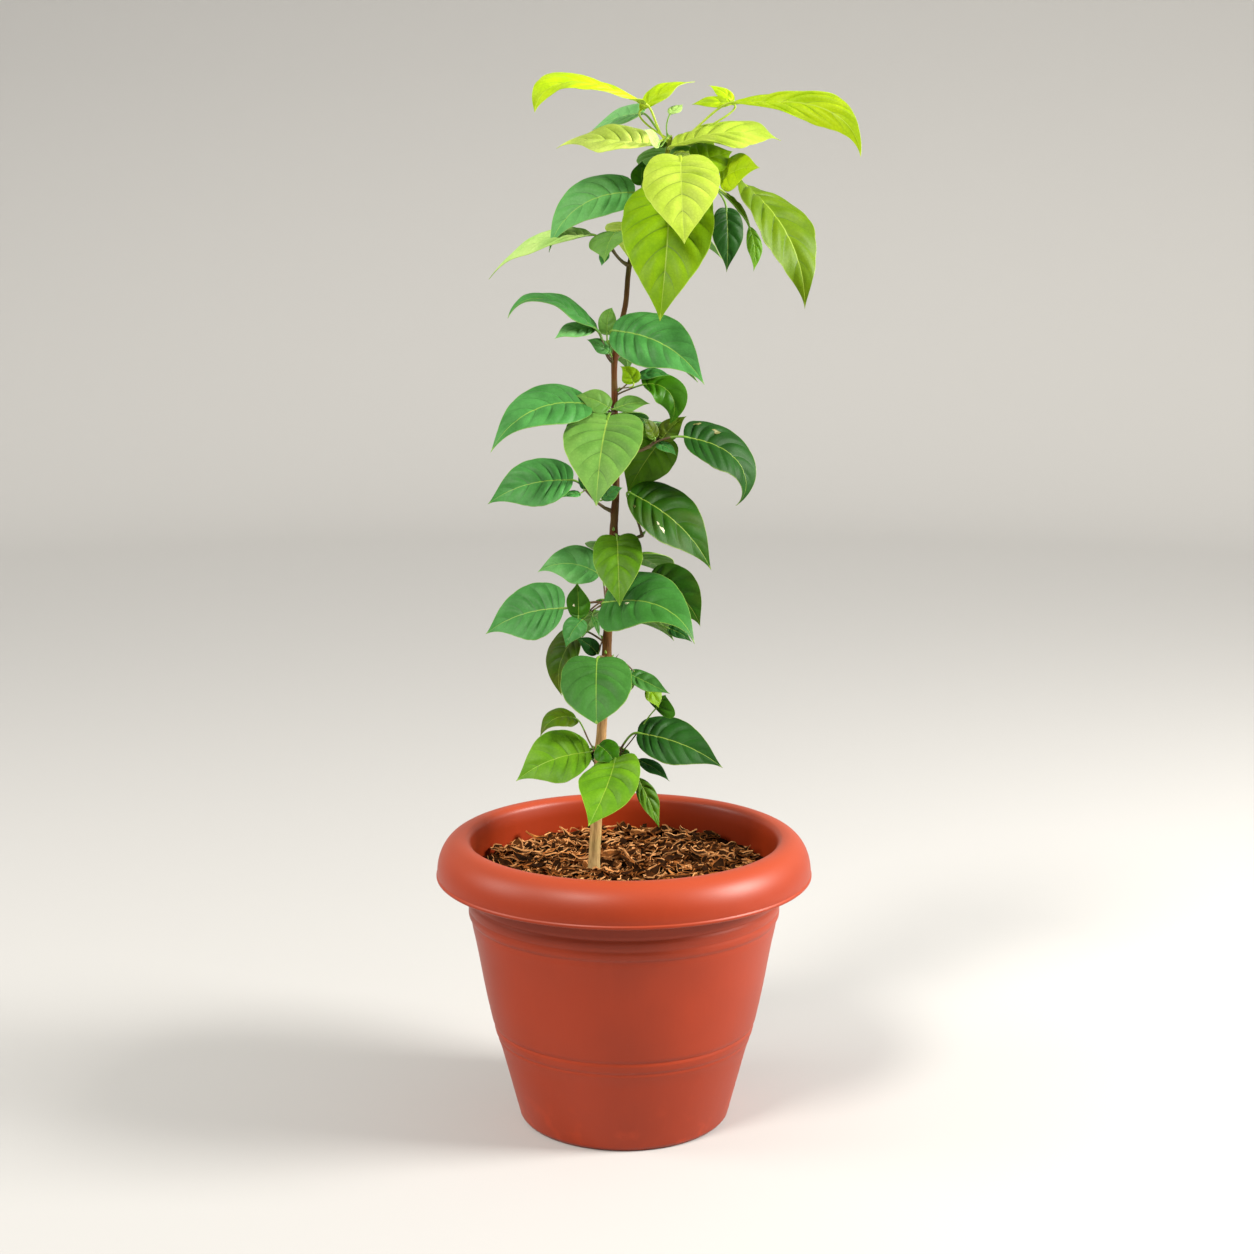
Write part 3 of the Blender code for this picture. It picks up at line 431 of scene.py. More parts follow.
def axes(heading, pitch):
    """Unit vectors along a heading and pitch, to its left, and up from both."""
    turn, rise = math.radians(heading), math.radians(pitch)
    along = Vector((math.cos(rise) * math.cos(turn), math.cos(rise) * math.sin(turn),
                    math.sin(rise)))
    left = Vector((-math.sin(turn), math.cos(turn), 0))
    return along, left, along.cross(left)


ROUND_STEPS = 4  # faces round each rounded corner of a profile
ROUND_LIMIT = 0.48  # the most of an edge that the rounding of one of its corners takes up


def rounded(corners):
    """A line of (radius, height, rounding) with each corner that has a rounding made a curve."""
    points = []
    for place, (radius, height, rounding) in enumerate(corners):
        corner = Vector((radius, height))
        if rounding == 0 or place in (0, len(corners) - 1):
            points.append(corner)
            continue
        enter, leave = (
            corner + edge.normalized() * min(rounding, edge.length * ROUND_LIMIT)
            for edge in (Vector(corners[place + way][:2]) - corner for way in (-1, 1)))
        for step in range(ROUND_STEPS + 1):
            share = step / ROUND_STEPS
            points.append(enter.lerp(corner, share).lerp(corner.lerp(leave, share), share))
    return points


def circle(radius, sides):
    """Points round the middle, as (right, away)."""
    for side in range(sides):
        turn = math.tau * side / sides
        yield radius * math.cos(turn), radius * math.sin(turn)


def stacked(first, rings, last=None):
    """Points and faces of a form made of rings, from a middle point and, if closed, to a last."""
    sides = len(rings[0])
    points = [first, *(point for ring in rings for point in ring)]
    faces = []
    for side in range(sides):
        after = (side + 1) % sides
        faces.append((0, 1 + side, 1 + after))
        for low in range(1, len(points) - sides, sides):
            high = low + sides
            faces.append((low + side, high + side, high + after, low + after))
        if last is not None:
            rim = len(points) - sides
            faces.append((len(points), rim + after, rim + side))
    return points if last is None else points + [last], faces


def turned(shell, profile, sides, finish):
    """Turns a profile of (radius, height) round Z. Its first and last points are on the axis."""
    rings = [[Vector((x, y, height)) for x, y in circle(radius, sides)]
             for radius, height in profile[1:-1]]
    base, top = (Vector((0, 0, end.y)) for end in (profile[0], profile[-1]))
    shell.add(*stacked(base, rings, top), finish)


NEARLY_UPRIGHT = 0.9  # the upward part of a direction that is too steep to measure from Z


def frames_along(points):
    """For each point of a line, two directions across it that turn as little as they can."""
    ahead = [(b - a).normalized() for a, b in zip(points, points[1:])]
    ahead.append(ahead[-1])
    spare = Vector((0, 0, 1)) if abs(ahead[0].z) < NEARLY_UPRIGHT else Vector((1, 0, 0))
    across = ahead[0].cross(spare).normalized()
    for place, way in enumerate(ahead):
        if place:
            way = (way + ahead[place - 1]).normalized()
        across = (across - way * across.dot(way)).normalized()
        yield across, way.cross(across)


def sweep(shell, points, radii, sides, finish, lump=None):
    """A closed round tube along the points. lump gives what is added to a radius at a place,
    and finish is one name, or one for each stretch between two points.
    """
    rings = len(points) - 1
    bands = [finish] * rings if isinstance(finish, str) else finish
    body = []
    for place, (across, up) in enumerate(frames_along(points)):
        for side in range(sides):
            turn = math.tau * side / sides
            out = across * math.cos(turn) + up * math.sin(turn)
            radius = radii[place]
            if lump:
                radius += lump(points[place], out, turn)
            body.append(points[place] + out * radius)
    faces, names = [], []
    for ring in range(rings):
        for side in range(sides):
            after = (side + 1) % sides
            low, high = ring * sides, (ring + 1) * sides
            faces.append((low + side, low + after, high + after, high + side))
            names.append(bands[ring])
    last = rings * sides
    faces += [tuple(reversed(range(sides))), tuple(range(last, last + sides))]
    names += [bands[0], bands[-1]]
    shell.add(body, faces, names)


# ---------------------------------------------------------------- materials

COLOUR, VALUE = "NodeSocketColor", "NodeSocketFloat"
GRAIN_DEPTH = 0.03 * MM
PATCH_EDGE = (0.36, 0.66)  # values of the noise between which the patches fade in
NET_EDGE = 0.22  # of a leaf's net, how far its cells slope down to the small veins
NET_SHADE = (0.91, 0.92, 0.88)  # how much darker the skin is painted along the pressed-in small veins: painted shade
NET_GRAIN = 0.4  # how high the grain stands against the net
LEAF_PATCHES = 0.75
LEAF_SPECULAR = 0.14


def feed(tree, node, values):
    """Feeds a node's inputs, each with a socket or with a plain value."""
    for target, value in values.items():
        if isinstance(value, bpy.types.NodeSocket):
            tree.links.new(value, node.inputs[target])
        else:
            node.inputs[target].default_value = value


def add_node(tree, kind, values=None, **settings):
    """A node with its settings made and then its inputs fed."""
    node = tree.nodes.new(kind)
    for key, value in settings.items():
        setattr(node, key, value)
    feed(tree, node, values or {})
    return node


def opaque(colour):
    return (*colour, 1)


def blend_colours(tree, factor, first, second, mode="MIX"):
    """A colour mix of two sockets or colours by a factor socket or number."""
    return add_node(tree, "ShaderNodeMix", {0: factor, 6: first, 7: second},
                    data_type="RGBA", blend_type=mode).outputs[2]


def multiply(tree, first, second, added=0):
    """The product of two sockets or numbers, plus a third."""
    return add_node(tree, "ShaderNodeMath", {0: first, 1: second, 2: added},
                    operation="MULTIPLY_ADD").outputs[0]


def ramp(tree, source, low, high, kind="SMOOTHSTEP"):
    """A step of a value between two limits, smooth unless its kind is given."""
    return add_node(tree, "ShaderNodeMapRange", {
        "Value": source, "From Min": low, "From Max": high}, interpolation_type=kind).outputs[0]


def object_place(tree):
    return add_node(tree, "ShaderNodeTexCoord").outputs["Object"]


def upward(tree, vector):
    return add_node(tree, "ShaderNodeSeparateXYZ", {"Vector": vector}).outputs["Z"]


def noise_value(tree, place, scale, detail, stretch=None):
    """A noise at a place, which a stretch scales in each direction first."""
    if stretch:
        place = add_node(tree, "ShaderNodeMapping", {"Vector": place, "Scale": stretch}).outputs[0]
    return add_node(tree, "ShaderNodeTexNoise", {
        "Vector": place, "Scale": scale, "Detail": detail}).outputs["Fac"]


def new_group(name, inputs):
    """A node group that takes named inputs, and puts out a colour, a roughness and a height."""
    group = bpy.data.node_groups.new(name, "ShaderNodeTree")
    for label, default in inputs.items():
        kind = COLOUR if isinstance(default, tuple) else VALUE
        socket = group.interface.new_socket(label, in_out="INPUT", socket_type=kind)
        socket.default_value = default
    for label, kind in (("Colour", COLOUR), ("Roughness", VALUE), ("Height", VALUE)):
        group.interface.new_socket(label, in_out="OUTPUT", socket_type=kind)
    return group, group.nodes.new("NodeGroupInput").outputs, group.nodes.new("NodeGroupOutput")


def mottle_group():
    """Soft patches of a second colour, uneven gloss and a fine grain, all over a surface."""
    name = "Mottle"
    if name in bpy.data.node_groups:
        return bpy.data.node_groups[name]
    group, given, result = new_group(name, {
        "Colour": (0.5, 0.5, 0.5, 1), "Patches": (0.3, 0.3, 0.3, 1), "Patch Scale": 60,
        "Patch Amount": 0.6, "Grain Scale": 900, "Roughness": 0.4, "Roughness Spread": 0.1,
    })
    place = object_place(group)
    patches = noise_value(group, place, given["Patch Scale"], 3)
    grain = noise_value(group, place, given["Grain Scale"], 2)
    share = multiply(group, ramp(group, patches, *PATCH_EDGE), given["Patch Amount"])
    feed(group, result, {
        "Colour": blend_colours(group, share, given["Colour"], given["Patches"]),
        "Roughness": multiply(group, grain, given["Roughness Spread"], given["Roughness"]),
        "Height": grain,
    })
    return group


def skin_group():
    """A leaf's skin: the mottle, with a fine net of small veins pressed into it and darkened along them as
    painted shade.
    """
    name = "Leaf Skin"
    if name in bpy.data.node_groups:
        return bpy.data.node_groups[name]
    group, given, result = new_group(name, {
        "Colour": (0.1, 0.4, 0.1, 1), "Patches": (0.05, 0.3, 0.05, 1), "Patch Scale": 55,
        "Net Scale": 330, "Roughness": 0.4,
    })
    passed = {label: given[label] for label in ("Colour", "Patches", "Patch Scale", "Roughness")}
    mottle = add_node(group, "ShaderNodeGroup", {**passed, "Patch Amount": LEAF_PATCHES},
                      node_tree=mottle_group()).outputs
    net = add_node(group, "ShaderNodeTexVoronoi", {
        "Vector": object_place(group), "Scale": given["Net Scale"]}, feature="DISTANCE_TO_EDGE")
    puff = ramp(group, net.outputs["Distance"], 0.0, NET_EDGE)
    # painted shade in the net's pressed-in lines
    net_shaded = blend_colours(group, 1.0, mottle["Colour"], opaque(NET_SHADE), mode="MULTIPLY")
    feed(group, result, {
        "Colour": blend_colours(group, puff, net_shaded, mottle["Colour"]),
        "Roughness": mottle["Roughness"],
        "Height": multiply(group, mottle["Height"], NET_GRAIN, puff),
    })
    return group


def new_material(name):
    """A new material's node tree, with only its Principled shader."""
    material = bpy.data.materials.new(name)
    material.use_nodes = True
    return material.node_tree


def dress(tree, colour, roughness, specular, height, depth):
    """Feeds the Principled shader, with a bump whose height stands for depth in metres."""
    bump = add_node(tree, "ShaderNodeBump", {"Height": height, "Distance": depth})
    feed(tree, tree.nodes["Principled BSDF"], {
        "Base Color": colour, "Roughness": roughness, "Specular IOR Level": specular,
        "Normal": bump.outputs["Normal"],
    })


def group_material(name, group, values, specular, depth):
    """A material whose colour, roughness and height all come from one node group."""
    tree = new_material(name)
    given = add_node(tree, "ShaderNodeGroup", values, node_tree=group).outputs
    dress(tree, given["Colour"], given["Roughness"], specular, given["Height"], depth)
    bpy.data.materials[name].diffuse_color = values["Colour"]


def mottled_material(name, colour, patches, roughness, scale=60, amount=0.6, grain=900,
                     depth=GRAIN_DEPTH, spread=0.1, specular=0.5):
    """A finish of one colour with soft patches of a second and a fine grain."""
    group_material(name, mottle_group(), {
        "Colour": opaque(colour), "Patches": opaque(patches), "Patch Scale": scale,
        "Patch Amount": amount, "Grain Scale": grain, "Roughness": roughness - spread / 2,
        "Roughness Spread": spread,
    }, specular, depth)


def leaf_material(name, colour, patches, roughness):
    """The finish of a blade's skin between its veins."""
    group_material(name, skin_group(), {
        "Colour": opaque(colour), "Patches": opaque(patches), "Roughness": roughness,
    }, LEAF_SPECULAR, GRAIN_DEPTH)


def toward(colour, other, share):
    return tuple(mix(first, second, share) for first, second in zip(colour, other))


def make_leaf_materials():
    for tint, (colour, patches, roughness) in LEAF_TINTS.items():
        leaf_material("leaf_" + tint, colour, patches, roughness)
        for part, (other, share) in TRIM_SHARES.items():
            trim = toward(colour, other, share)
            mottled_material(part + tint, trim, toward(trim, patches, TRIM_PATCHES),
                             roughness + TRIM_ROUGHER, specular=TRIM_SPECULAR)
    for name, colour in UNDER_COLOURS.items():
        patches = toward(colour, *UNDER_SHADE)
        if name.startswith("under_"):
            leaf_material(name, colour, patches, UNDER_ROUGHNESS)
        else:
            mottled_material(name, colour, patches, UNDER_ROUGHNESS - TRIM_ROUGHER,
                             specular=TRIM_SPECULAR)
    for name, looks in SMALL_FINISHES.items():
        mottled_material(name, *looks)


# ---------------------------------------------------------------- pot

POT_PROFILE = (
    # radius, height and rounding in millimetres: up the inside, over the rolled rim
    (0, 5, 0), (81, 5, 3), (108, 100, 20), (121.6, 200, 6), (121.2, 222, 4), (122.6, 230.2, 2.5),
)
POT_BODY = (
    # down the outside, from under the rim to the foot
    (125.8, 216, 2), (125.4, 200, 6), (125.0, 187.4, 1.2), (124.2, 185.4, 0.8), (125.3, 182.6, 1.6),
    (125.1, 178.6, 1.6), (124.1, 176.2, 0.8), (124.8, 173.6, 1.4), (124.4, 170.2, 1.4),
    (122.3, 167.6, 1.0), (122.0, 163, 1.4), (118.2, 145, 12), (112.2, 110, 14), (106.6, 84, 1.6),
    (105.8, 82, 1.0), (104.5, 80.2, 0.8), (105.1, 78, 1.2), (103.8, 72.8, 1.2), (102.3, 70.6, 0.8),
    (102.4, 68.8, 1.0), (101.0, 65, 1), (99.4, 60, 3), (84.6, 3.4, 1), (82.0, 0.4, 1.2),
    (77.0, 0.0, 0.6), (0, 0, 0),
)
RIM_CENTRE = (130, 206)  # of the rolled rim's curve, millimetres
RIM_REACH = (19.3, 27.5)  # its half width and its height
RIM_WALL = 2.6
RIM_OUTSIDE = (-14, 90, 22)  # degrees from the crest, first and last, and steps
RIM_INSIDE = (88, 20, 12)
RIM_BEAD = ((149.2, 205.0, 0.3), (150.0, 204.0, 0.4), (150.0, 202.5, 0.5), (148.7, 201.5, 0.5),
            (146.0, 201.5, 0.8), (145.4, 203.0, 0.8))
PAINTED_TOP_LIGHT = (0.385, 0.053, 0.017)  # the paler colour painted on faces the more they face up: painted light from above
# Shades of the pot's colour: its patches, the lines drawn up it in moulding, and dust at its foot
POT_PATCHES, POT_LINES, POT_DUST = 0.84, 1.35, 1.3
LINE_AMOUNT, LINE_EDGE, LINE_DETAIL = 0.07, (0.45, 0.75), 3
LINE_STRETCH = (160, 160, 9)
DUST_HEIGHT, DUST_EDGE, DUST_NOISE = 50 * MM, (0.5, 0.72), (55, 5)
POT_MOTTLE = {"Patch Scale": 9, "Patch Amount": 0.7, "Grain Scale": 1500, "Roughness Spread": 0.12}
SMOOTHEST = 0.05  # how far the pot's roughness starts below its setting, for the mottle to add to
POT_SPECULAR = 0.34
POT_GRAIN_DEPTH = 0.02 * MM


def rim_curve(inset, start, stop, steps):
    """The rolled rim's curve between two angles from its crest, in by inset millimetres."""
    for step in range(steps + 1):
        turn = math.radians(mix(start, stop, step / steps))
        yield (RIM_CENTRE[0] + (RIM_REACH[0] - inset) * math.sin(turn),
               RIM_CENTRE[1] + (RIM_REACH[1] - inset) * math.cos(turn), 0)


def pot_profile():
    corners = (*POT_PROFILE, *rim_curve(0, *RIM_OUTSIDE), *RIM_BEAD,
               *rim_curve(RIM_WALL, *RIM_INSIDE), *POT_BODY)
    return [point * MM for point in rounded(corners)]


def make_pot_material(settings):
    """Satin moulded plastic: faint drawn lines, fine scuffs, dust low down, and painted light that makes it
    paler on top.
    """
    tree = new_material("pot_plastic")
    colour = Vector(settings.colour)
    place = object_place(tree)
    skin = add_node(tree, "ShaderNodeGroup", {
        "Colour": opaque(colour), "Patches": opaque(colour * POT_PATCHES),
        "Roughness": settings.roughness - SMOOTHEST, **POT_MOTTLE},
        node_tree=mottle_group()).outputs
    drawn = ramp(tree, noise_value(tree, place, 1, LINE_DETAIL, LINE_STRETCH), *LINE_EDGE)
    dust = multiply(tree, ramp(tree, noise_value(tree, place, *DUST_NOISE), *DUST_EDGE),
                    ramp(tree, upward(tree, place), DUST_HEIGHT, 0))
    normal = add_node(tree, "ShaderNodeNewGeometry").outputs["Normal"]
    look = skin["Colour"]
    for factor, shade in ((multiply(tree, drawn, LINE_AMOUNT), colour * POT_LINES),
                          (dust, colour * POT_DUST),
                          # painted light: faces that point up are blended towards the paler colour
                          (ramp(tree, upward(tree, normal), 0, 1), PAINTED_TOP_LIGHT)):
        look = blend_colours(tree, factor, look, opaque(shade))
    dress(tree, look, skin["Roughness"], POT_SPECULAR, skin["Height"], POT_GRAIN_DEPTH)


class BAEL_OT_pot(bpy.types.Operator):
    """Makes the moulded pot with its rolled rim, rings and raised band"""
    bl_idname = "bael.pot"
    bl_label = "Pot"

    def execute(self, context):
        settings = context.scene.bael_pot
        make_pot_material(settings)
        shell = Shell()
        turned(shell, pot_profile(), settings.sides, "pot_plastic")
        shell.piece("pot_moulding", "pot", "pot", sharp_above=60)
        return {"FINISHED"}


# ---------------------------------------------------------------- mulch

MULCH_LEVEL = 205 * MM
MULCH_RADIUS = 121.2 * MM
# Each finish's colour and the patches on it
HUSK_COLOURS = {
    "husk_black": ((0.013, 0.0048, 0.0013), (0.030, 0.011, 0.003)),
    "husk_dark": ((0.038, 0.0125, 0.0030), (0.015, 0.005, 0.0014)),
    "husk_brown": ((0.115, 0.036, 0.008), (0.045, 0.014, 0.003)),
    "husk_russet": ((0.23, 0.078, 0.019), (0.10, 0.033, 0.008)),
    "husk_tan": ((0.50, 0.185, 0.046), (0.30, 0.095, 0.022)),
    "husk_straw": ((0.72, 0.36, 0.140), (0.50, 0.21, 0.068)),
}
HUSK_LOOK = {"roughness": 0.68, "scale": 260, "amount": 0.9, "grain": 1600, "depth": 0.2 * MM,
             "spread": 0.2, "specular": 0.03}
# Where a noise is given: how its octaves fade, how much finer each is, and how many there are
HUMP_HEIGHT, HUMP_SCALE, HUMP_LIFT, HUMP_NOISE = 3.0 * MM, 28, 1.5 * MM, (0.6, 2.0, 4)
BED_RINGS, BED_SIDES = 40, 120
BED_DROP = 3 * MM  # from the level of the loose strips down to the crumb
BED_DEPTH = 20 * MM
CRUMB_HEIGHT, CRUMB_SCALE, CRUMB_NOISE = 1.6 * MM, 190, (0.7, 2.0, 3)


def mulch_level(x, y):
    """The mulch's own gentle humps and hollows, above the pot's underside."""
    hump = noise.fractal(Vector((x, y, 0)) * HUMP_SCALE, *HUMP_NOISE)
    return MULCH_LEVEL + HUMP_LIFT + HUMP_HEIGHT * hump


def make_mulch_bed(shell):
    """The dark crumb under the loose strips."""
    rings = []
    for ring in range(1, BED_RINGS + 1):
        rings.append([])
        for x, y in circle(MULCH_RADIUS * ring / BED_RINGS, BED_SIDES):
            crumb = CRUMB_HEIGHT * noise.fractal(Vector((x, y, 1)) * CRUMB_SCALE, *CRUMB_NOISE)
            rings[-1].append(Vector((x, y, mulch_level(x, y) - BED_DROP + crumb)))
    under = MULCH_LEVEL - BED_DEPTH
    rings.append([Vector((corner.x, corner.y, under)) for corner in rings[-1]])
    middle = Vector((0, 0, mulch_level(0, 0)))
    shell.add(*stacked(middle, rings, Vector((0, 0, under))), "husk_black")


# The cross-section of a flake of bark, as shares of its width and of its edge's curl: a dark
# face between two pale torn edges that curl up, and the back
FLAKE_SECTION = ((-1, 0.9), (-0.80, 0.15), (0.86, 0.1), (1, 0.5), (0.9, 0.0), (-0.9, 0.2))
FLAKE_FINISH = (1, 0, 1, 1, 0, 1)  # 1 for the pale edge and 0 for the face
FLAKE_BACK = 4  # the section's corner from which the flake's back begins
FLAKE_STEPS = 9
FLAKE_TWIST = 1.2  # radians either way over its length
FLAKE_LEAN = 0.2  # radians that it leans sideways, as a spread
SIDE_TURNS, RISE_TURNS, EDGE_TURNS = 7, 11, 13  # radians of its waves and uneven edges along it
RISE_WAVE = 0.3  # of the sideways wave
FLAKE_POINTED, POINTED_POWER = 0.55, 3  # how much narrower its ends are, and how late that comes
FLAKE_UNEVEN = 0.22
# Spans of lengths, widths, thickness and rise of the edges, how far it bends, and wave, all in
# millimetres but for the bend, which is a share of the length
Flake = namedtuple("Flake", "lengths widths thickness rise bend wave")
CHIP = Flake((10, 25), (5.0, 10.5), (0.4, 0.8), (0.4, 1.5), 0.9, (0.8, 2.8))
FIBRE = Flake((8, 18), (1.1, 1.7), (0.6, 1.0), (0.0, 0.2), 0.7, (1.4, 3.8))


def add_flake(shell, kind, middle, turn, tilt, length, rule, finishes):
    """One torn and curled strip of bark, in millimetres until it is placed."""
    width, thickness, rise = (rule.uniform(*span) for span in (kind.widths, kind.thickness,
                                                               kind.rise))
    bend, wave = rule.uniform(-kind.bend, kind.bend), rule.uniform(*kind.wave)
    start, twist = rule.uniform(0, 6), rule.uniform(-FLAKE_TWIST, FLAKE_TWIST)
    pose = Matrix.Rotation(turn, 3, "Z") @ Matrix.Rotation(tilt, 3, "Y")
    pose = pose @ Matrix.Rotation(rule.gauss(0, FLAKE_LEAN), 3, "X")
    points = []
    for step in range(FLAKE_STEPS + 1):
        share = step / FLAKE_STEPS - 0.5
        spot = Vector((length * share, wave * math.sin(SIDE_TURNS * share + start),
                       RISE_WAVE * wave * math.sin(RISE_TURNS * share + start)
                       - length * bend * share ** 2))
        roll = twist * share
        taper = 1 - FLAKE_POINTED * abs(2 * share) ** POINTED_POWER
        taper *= 1 + FLAKE_UNEVEN * math.sin(EDGE_TURNS * share + 2 * start)
        for number, (out, curl) in enumerate(FLAKE_SECTION):
            y = out * width * taper / 2
            z = curl * rise - (thickness if number >= FLAKE_BACK else 0)
            corner = spot + Vector((0, y * math.cos(roll) - z * math.sin(roll),
                                    y * math.sin(roll) + z * math.cos(roll)))
            points.append(middle + pose @ corner * MM)
    wide = len(FLAKE_SECTION)
    faces, names = [], []
    for low in range(0, FLAKE_STEPS * wide, wide):
        high = low + wide
        for side in range(wide):
            after = (side + 1) % wide
            faces.append((low + side, high + side, high + after, low + after))
            names.append(finishes[FLAKE_FINISH[side]])
    faces += [tuple(range(wide)), tuple(reversed(range(high, high + wide)))]
    names += [finishes[1], finishes[1]]
    shell.add(points, faces, names)


STEEPEST = 0.20  # radians that a flake may stand up from the level
# Each layer of flakes: its lowest and highest lift as shares of the loose depth, and how steeply
# its flakes stand, as a spread in radians
CHIP_LAYER = (-0.25, 0.28, 0.14)
FIBRE_LAYER = (0.0, 0.36, 0.15)


def scatter_flakes(shell, kind, count, rule, finishes, depth, layer):
    """Lets flakes fall all over the mulch, none of them through the pot's wall."""
    low, high, steep = layer
    left = count
    while left:
        radius = MULCH_RADIUS * math.sqrt(rule.random())
        place = rule.uniform(0, math.tau)
        spot = Vector((radius * math.cos(place), radius * math.sin(place)))
        turn = rule.uniform(0, math.tau)
        length = rule.uniform(*kind.lengths)
        reach = Vector((math.cos(turn), math.sin(turn))) * length / 2 * MM
        if max((spot + reach).length, (spot - reach).length) > MULCH_RADIUS - kind.widths[0] * MM:
            continue
        level = mulch_level(spot.x, spot.y) + rule.uniform(low * depth, high * depth)
        tilt = clamp(rule.gauss(0, steep), -STEEPEST, STEEPEST)
        add_flake(shell, kind, Vector((spot.x, spot.y, level)), turn, tilt, length, rule,
                  rule.choice(finishes))
        left -= 1


# The faces' and the torn edges' finish of each sort of chip, and then of each sort of fibre
CHIP_FINISHES = (
    ("husk_dark", "husk_straw"), ("husk_black", "husk_straw"), ("husk_dark", "husk_russet"),
    ("husk_black", "husk_tan"), ("husk_black", "husk_russet"), ("husk_brown", "husk_straw"),
    ("husk_dark", "husk_brown"), ("husk_black", "husk_dark"), ("husk_dark", "husk_tan"),
    ("husk_russet", "husk_straw"), ("husk_black", "husk_russet"), ("husk_black", "husk_straw"),
)
FIBRE_FINISHES = (
    ("husk_tan", "husk_straw"), ("husk_straw", "husk_straw"), ("husk_russet", "husk_tan"),
)


class BAEL_OT_mulch(bpy.types.Operator):
    """Covers the potting mix with shredded bark: a dark bed, curled chips and thin fibres"""
    bl_idname = "bael.mulch"
    bl_label = "Mulch"

    def execute(self, context):
        settings = context.scene.bael_mulch
        for name, (colour, patches) in HUSK_COLOURS.items():
            mottled_material(name, colour, patches, **HUSK_LOOK)
        rule = random.Random(settings.seed)
        bed = Shell()
        make_mulch_bed(bed)
        bed.piece("mulch_bed", "potting_mix", "potting_mix")
        for name, kind, count, finishes, layer, sharp in (
                ("mulch_chips", CHIP, settings.chips, CHIP_FINISHES, CHIP_LAYER, 35),
                ("mulch_fibres", FIBRE, settings.fibres, FIBRE_FINISHES, FIBRE_LAYER, 50)):
            flakes = Shell()
            scatter_flakes(flakes, kind, count, rule, finishes, settings.depth, layer)
            flakes.piece(name, "potting_mix", sharp_above=sharp)
        return {"FINISHED"}


# ---------------------------------------------------------------- trunk

def trunk_middle(height):
    """Where the trunk's middle is at a height, on a smooth curve through its bends."""
    bends = [Vector((right, away, level)) * MM for level, right, away in TRUNK_BENDS]
    level = clamp(height, bends[0].z, bends[-1].z)
    at = max(i for i in range(len(bends) - 1) if bends[i].z <= level or i == 0)
    here, there = bends[at], bends[at + 1]
    before = bends[max(at - 1, 0)]
    after = bends[min(at + 2, len(bends) - 1)]
    share = (level - here.z) / (there.z - here.z)
    into = (there - before) * (there.z - here.z) / max(there.z - before.z, MM)
    out = (after - here) * (there.z - here.z) / max(after.z - here.z, MM)
    ease = share * share * (3 - 2 * share)
    spot = here.lerp(there, ease)
    spot += into * (share * (1 - share) ** 2) - out * (share * share * (1 - share))
    return Vector((spot.x, spot.y, level))


def trunk_radius(height):
    foot, top = TRUNK_BENDS[0][0] * MM, TRUNK_BENDS[-1][0] * MM
    share = clamp((height - foot) / (top - foot))
    taper = (1 - share) ** TRUNK_TAPER_POWER
    radius = mix(TRUNK_TIP_RADIUS, TRUNK_FOOT_RADIUS, taper)
    return radius * (1 + ROOT_FLARE * max(0, 1 - (height - foot) / ROOT_FLARE_HEIGHT) ** 2)


LEAN_REACH = 5 * MM  # above and below a height, over which the trunk's lean there is taken


def square_to_trunk(height, heading):
    """The direction nearest a heading that leaves the trunk at a right angle."""
    rise = (trunk_middle(height + LEAN_REACH) - trunk_middle(height - LEAN_REACH)).normalized()
    out, _, _ = axes(heading, 0)
    return (out - rise * out.dot(rise)).normalized()


NODE_SWELLING = 0.75 * MM
NODE_REACH = 5 * MM  # up and down the trunk from a shoot
NODE_END = 2.5  # reaches from a shoot where its swelling has gone
NODE_ALL_ROUND = 0.35  # of the swelling, how much also shows on the other sides
LENTICEL_HEIGHT = 0.11 * MM
LENTICEL_SHARE = 0.86  # of the bark's cells that have none
RIDGES_ROUND, RIDGES_UP, RIDGE_NOISE = 2.2, 70, (0.8, 2.1, 4)  # the ridges' noise and its scales
PORES_ROUND, PORES_UP = 2.4, 420
SMOOTHER_AT_TIP = 0.6  # how much of the relief is gone at the trunk's tip


def bark_lump(settings):
    """How far the bark stands out at a point: long ridges, node swellings and lenticels."""
    nodes = [(shoot.height * MM, axes(shoot.heading, 0)[0]) for shoot in SHOOTS + BACK_SHOOTS]
    foot = TRUNK_BENDS[0][0] * MM

    def lump(spot, out, turn):
        grown = 1 - SMOOTHER_AT_TIP * (spot.z - foot) / (TRUNK_BENDS[-1][0] * MM - foot)
        around = Vector((math.cos(turn) * RIDGES_ROUND, math.sin(turn) * RIDGES_ROUND,
                         spot.z * RIDGES_UP))
        total = noise.fractal(around, *RIDGE_NOISE) * settings.relief * grown
        for height, heading in nodes:
            rise = (spot.z - height) / NODE_REACH
            if abs(rise) < NODE_END:
                facing = max(0.0, mix(NODE_ALL_ROUND, 1, out.dot(heading)))
                total += NODE_SWELLING * grown * facing * math.exp(-rise * rise)
        if noise.cell(Vector((turn * PORES_ROUND, spot.z * PORES_UP, 3))) > LENTICEL_SHARE:
            total += LENTICEL_HEIGHT * grown
        return total
    return lump


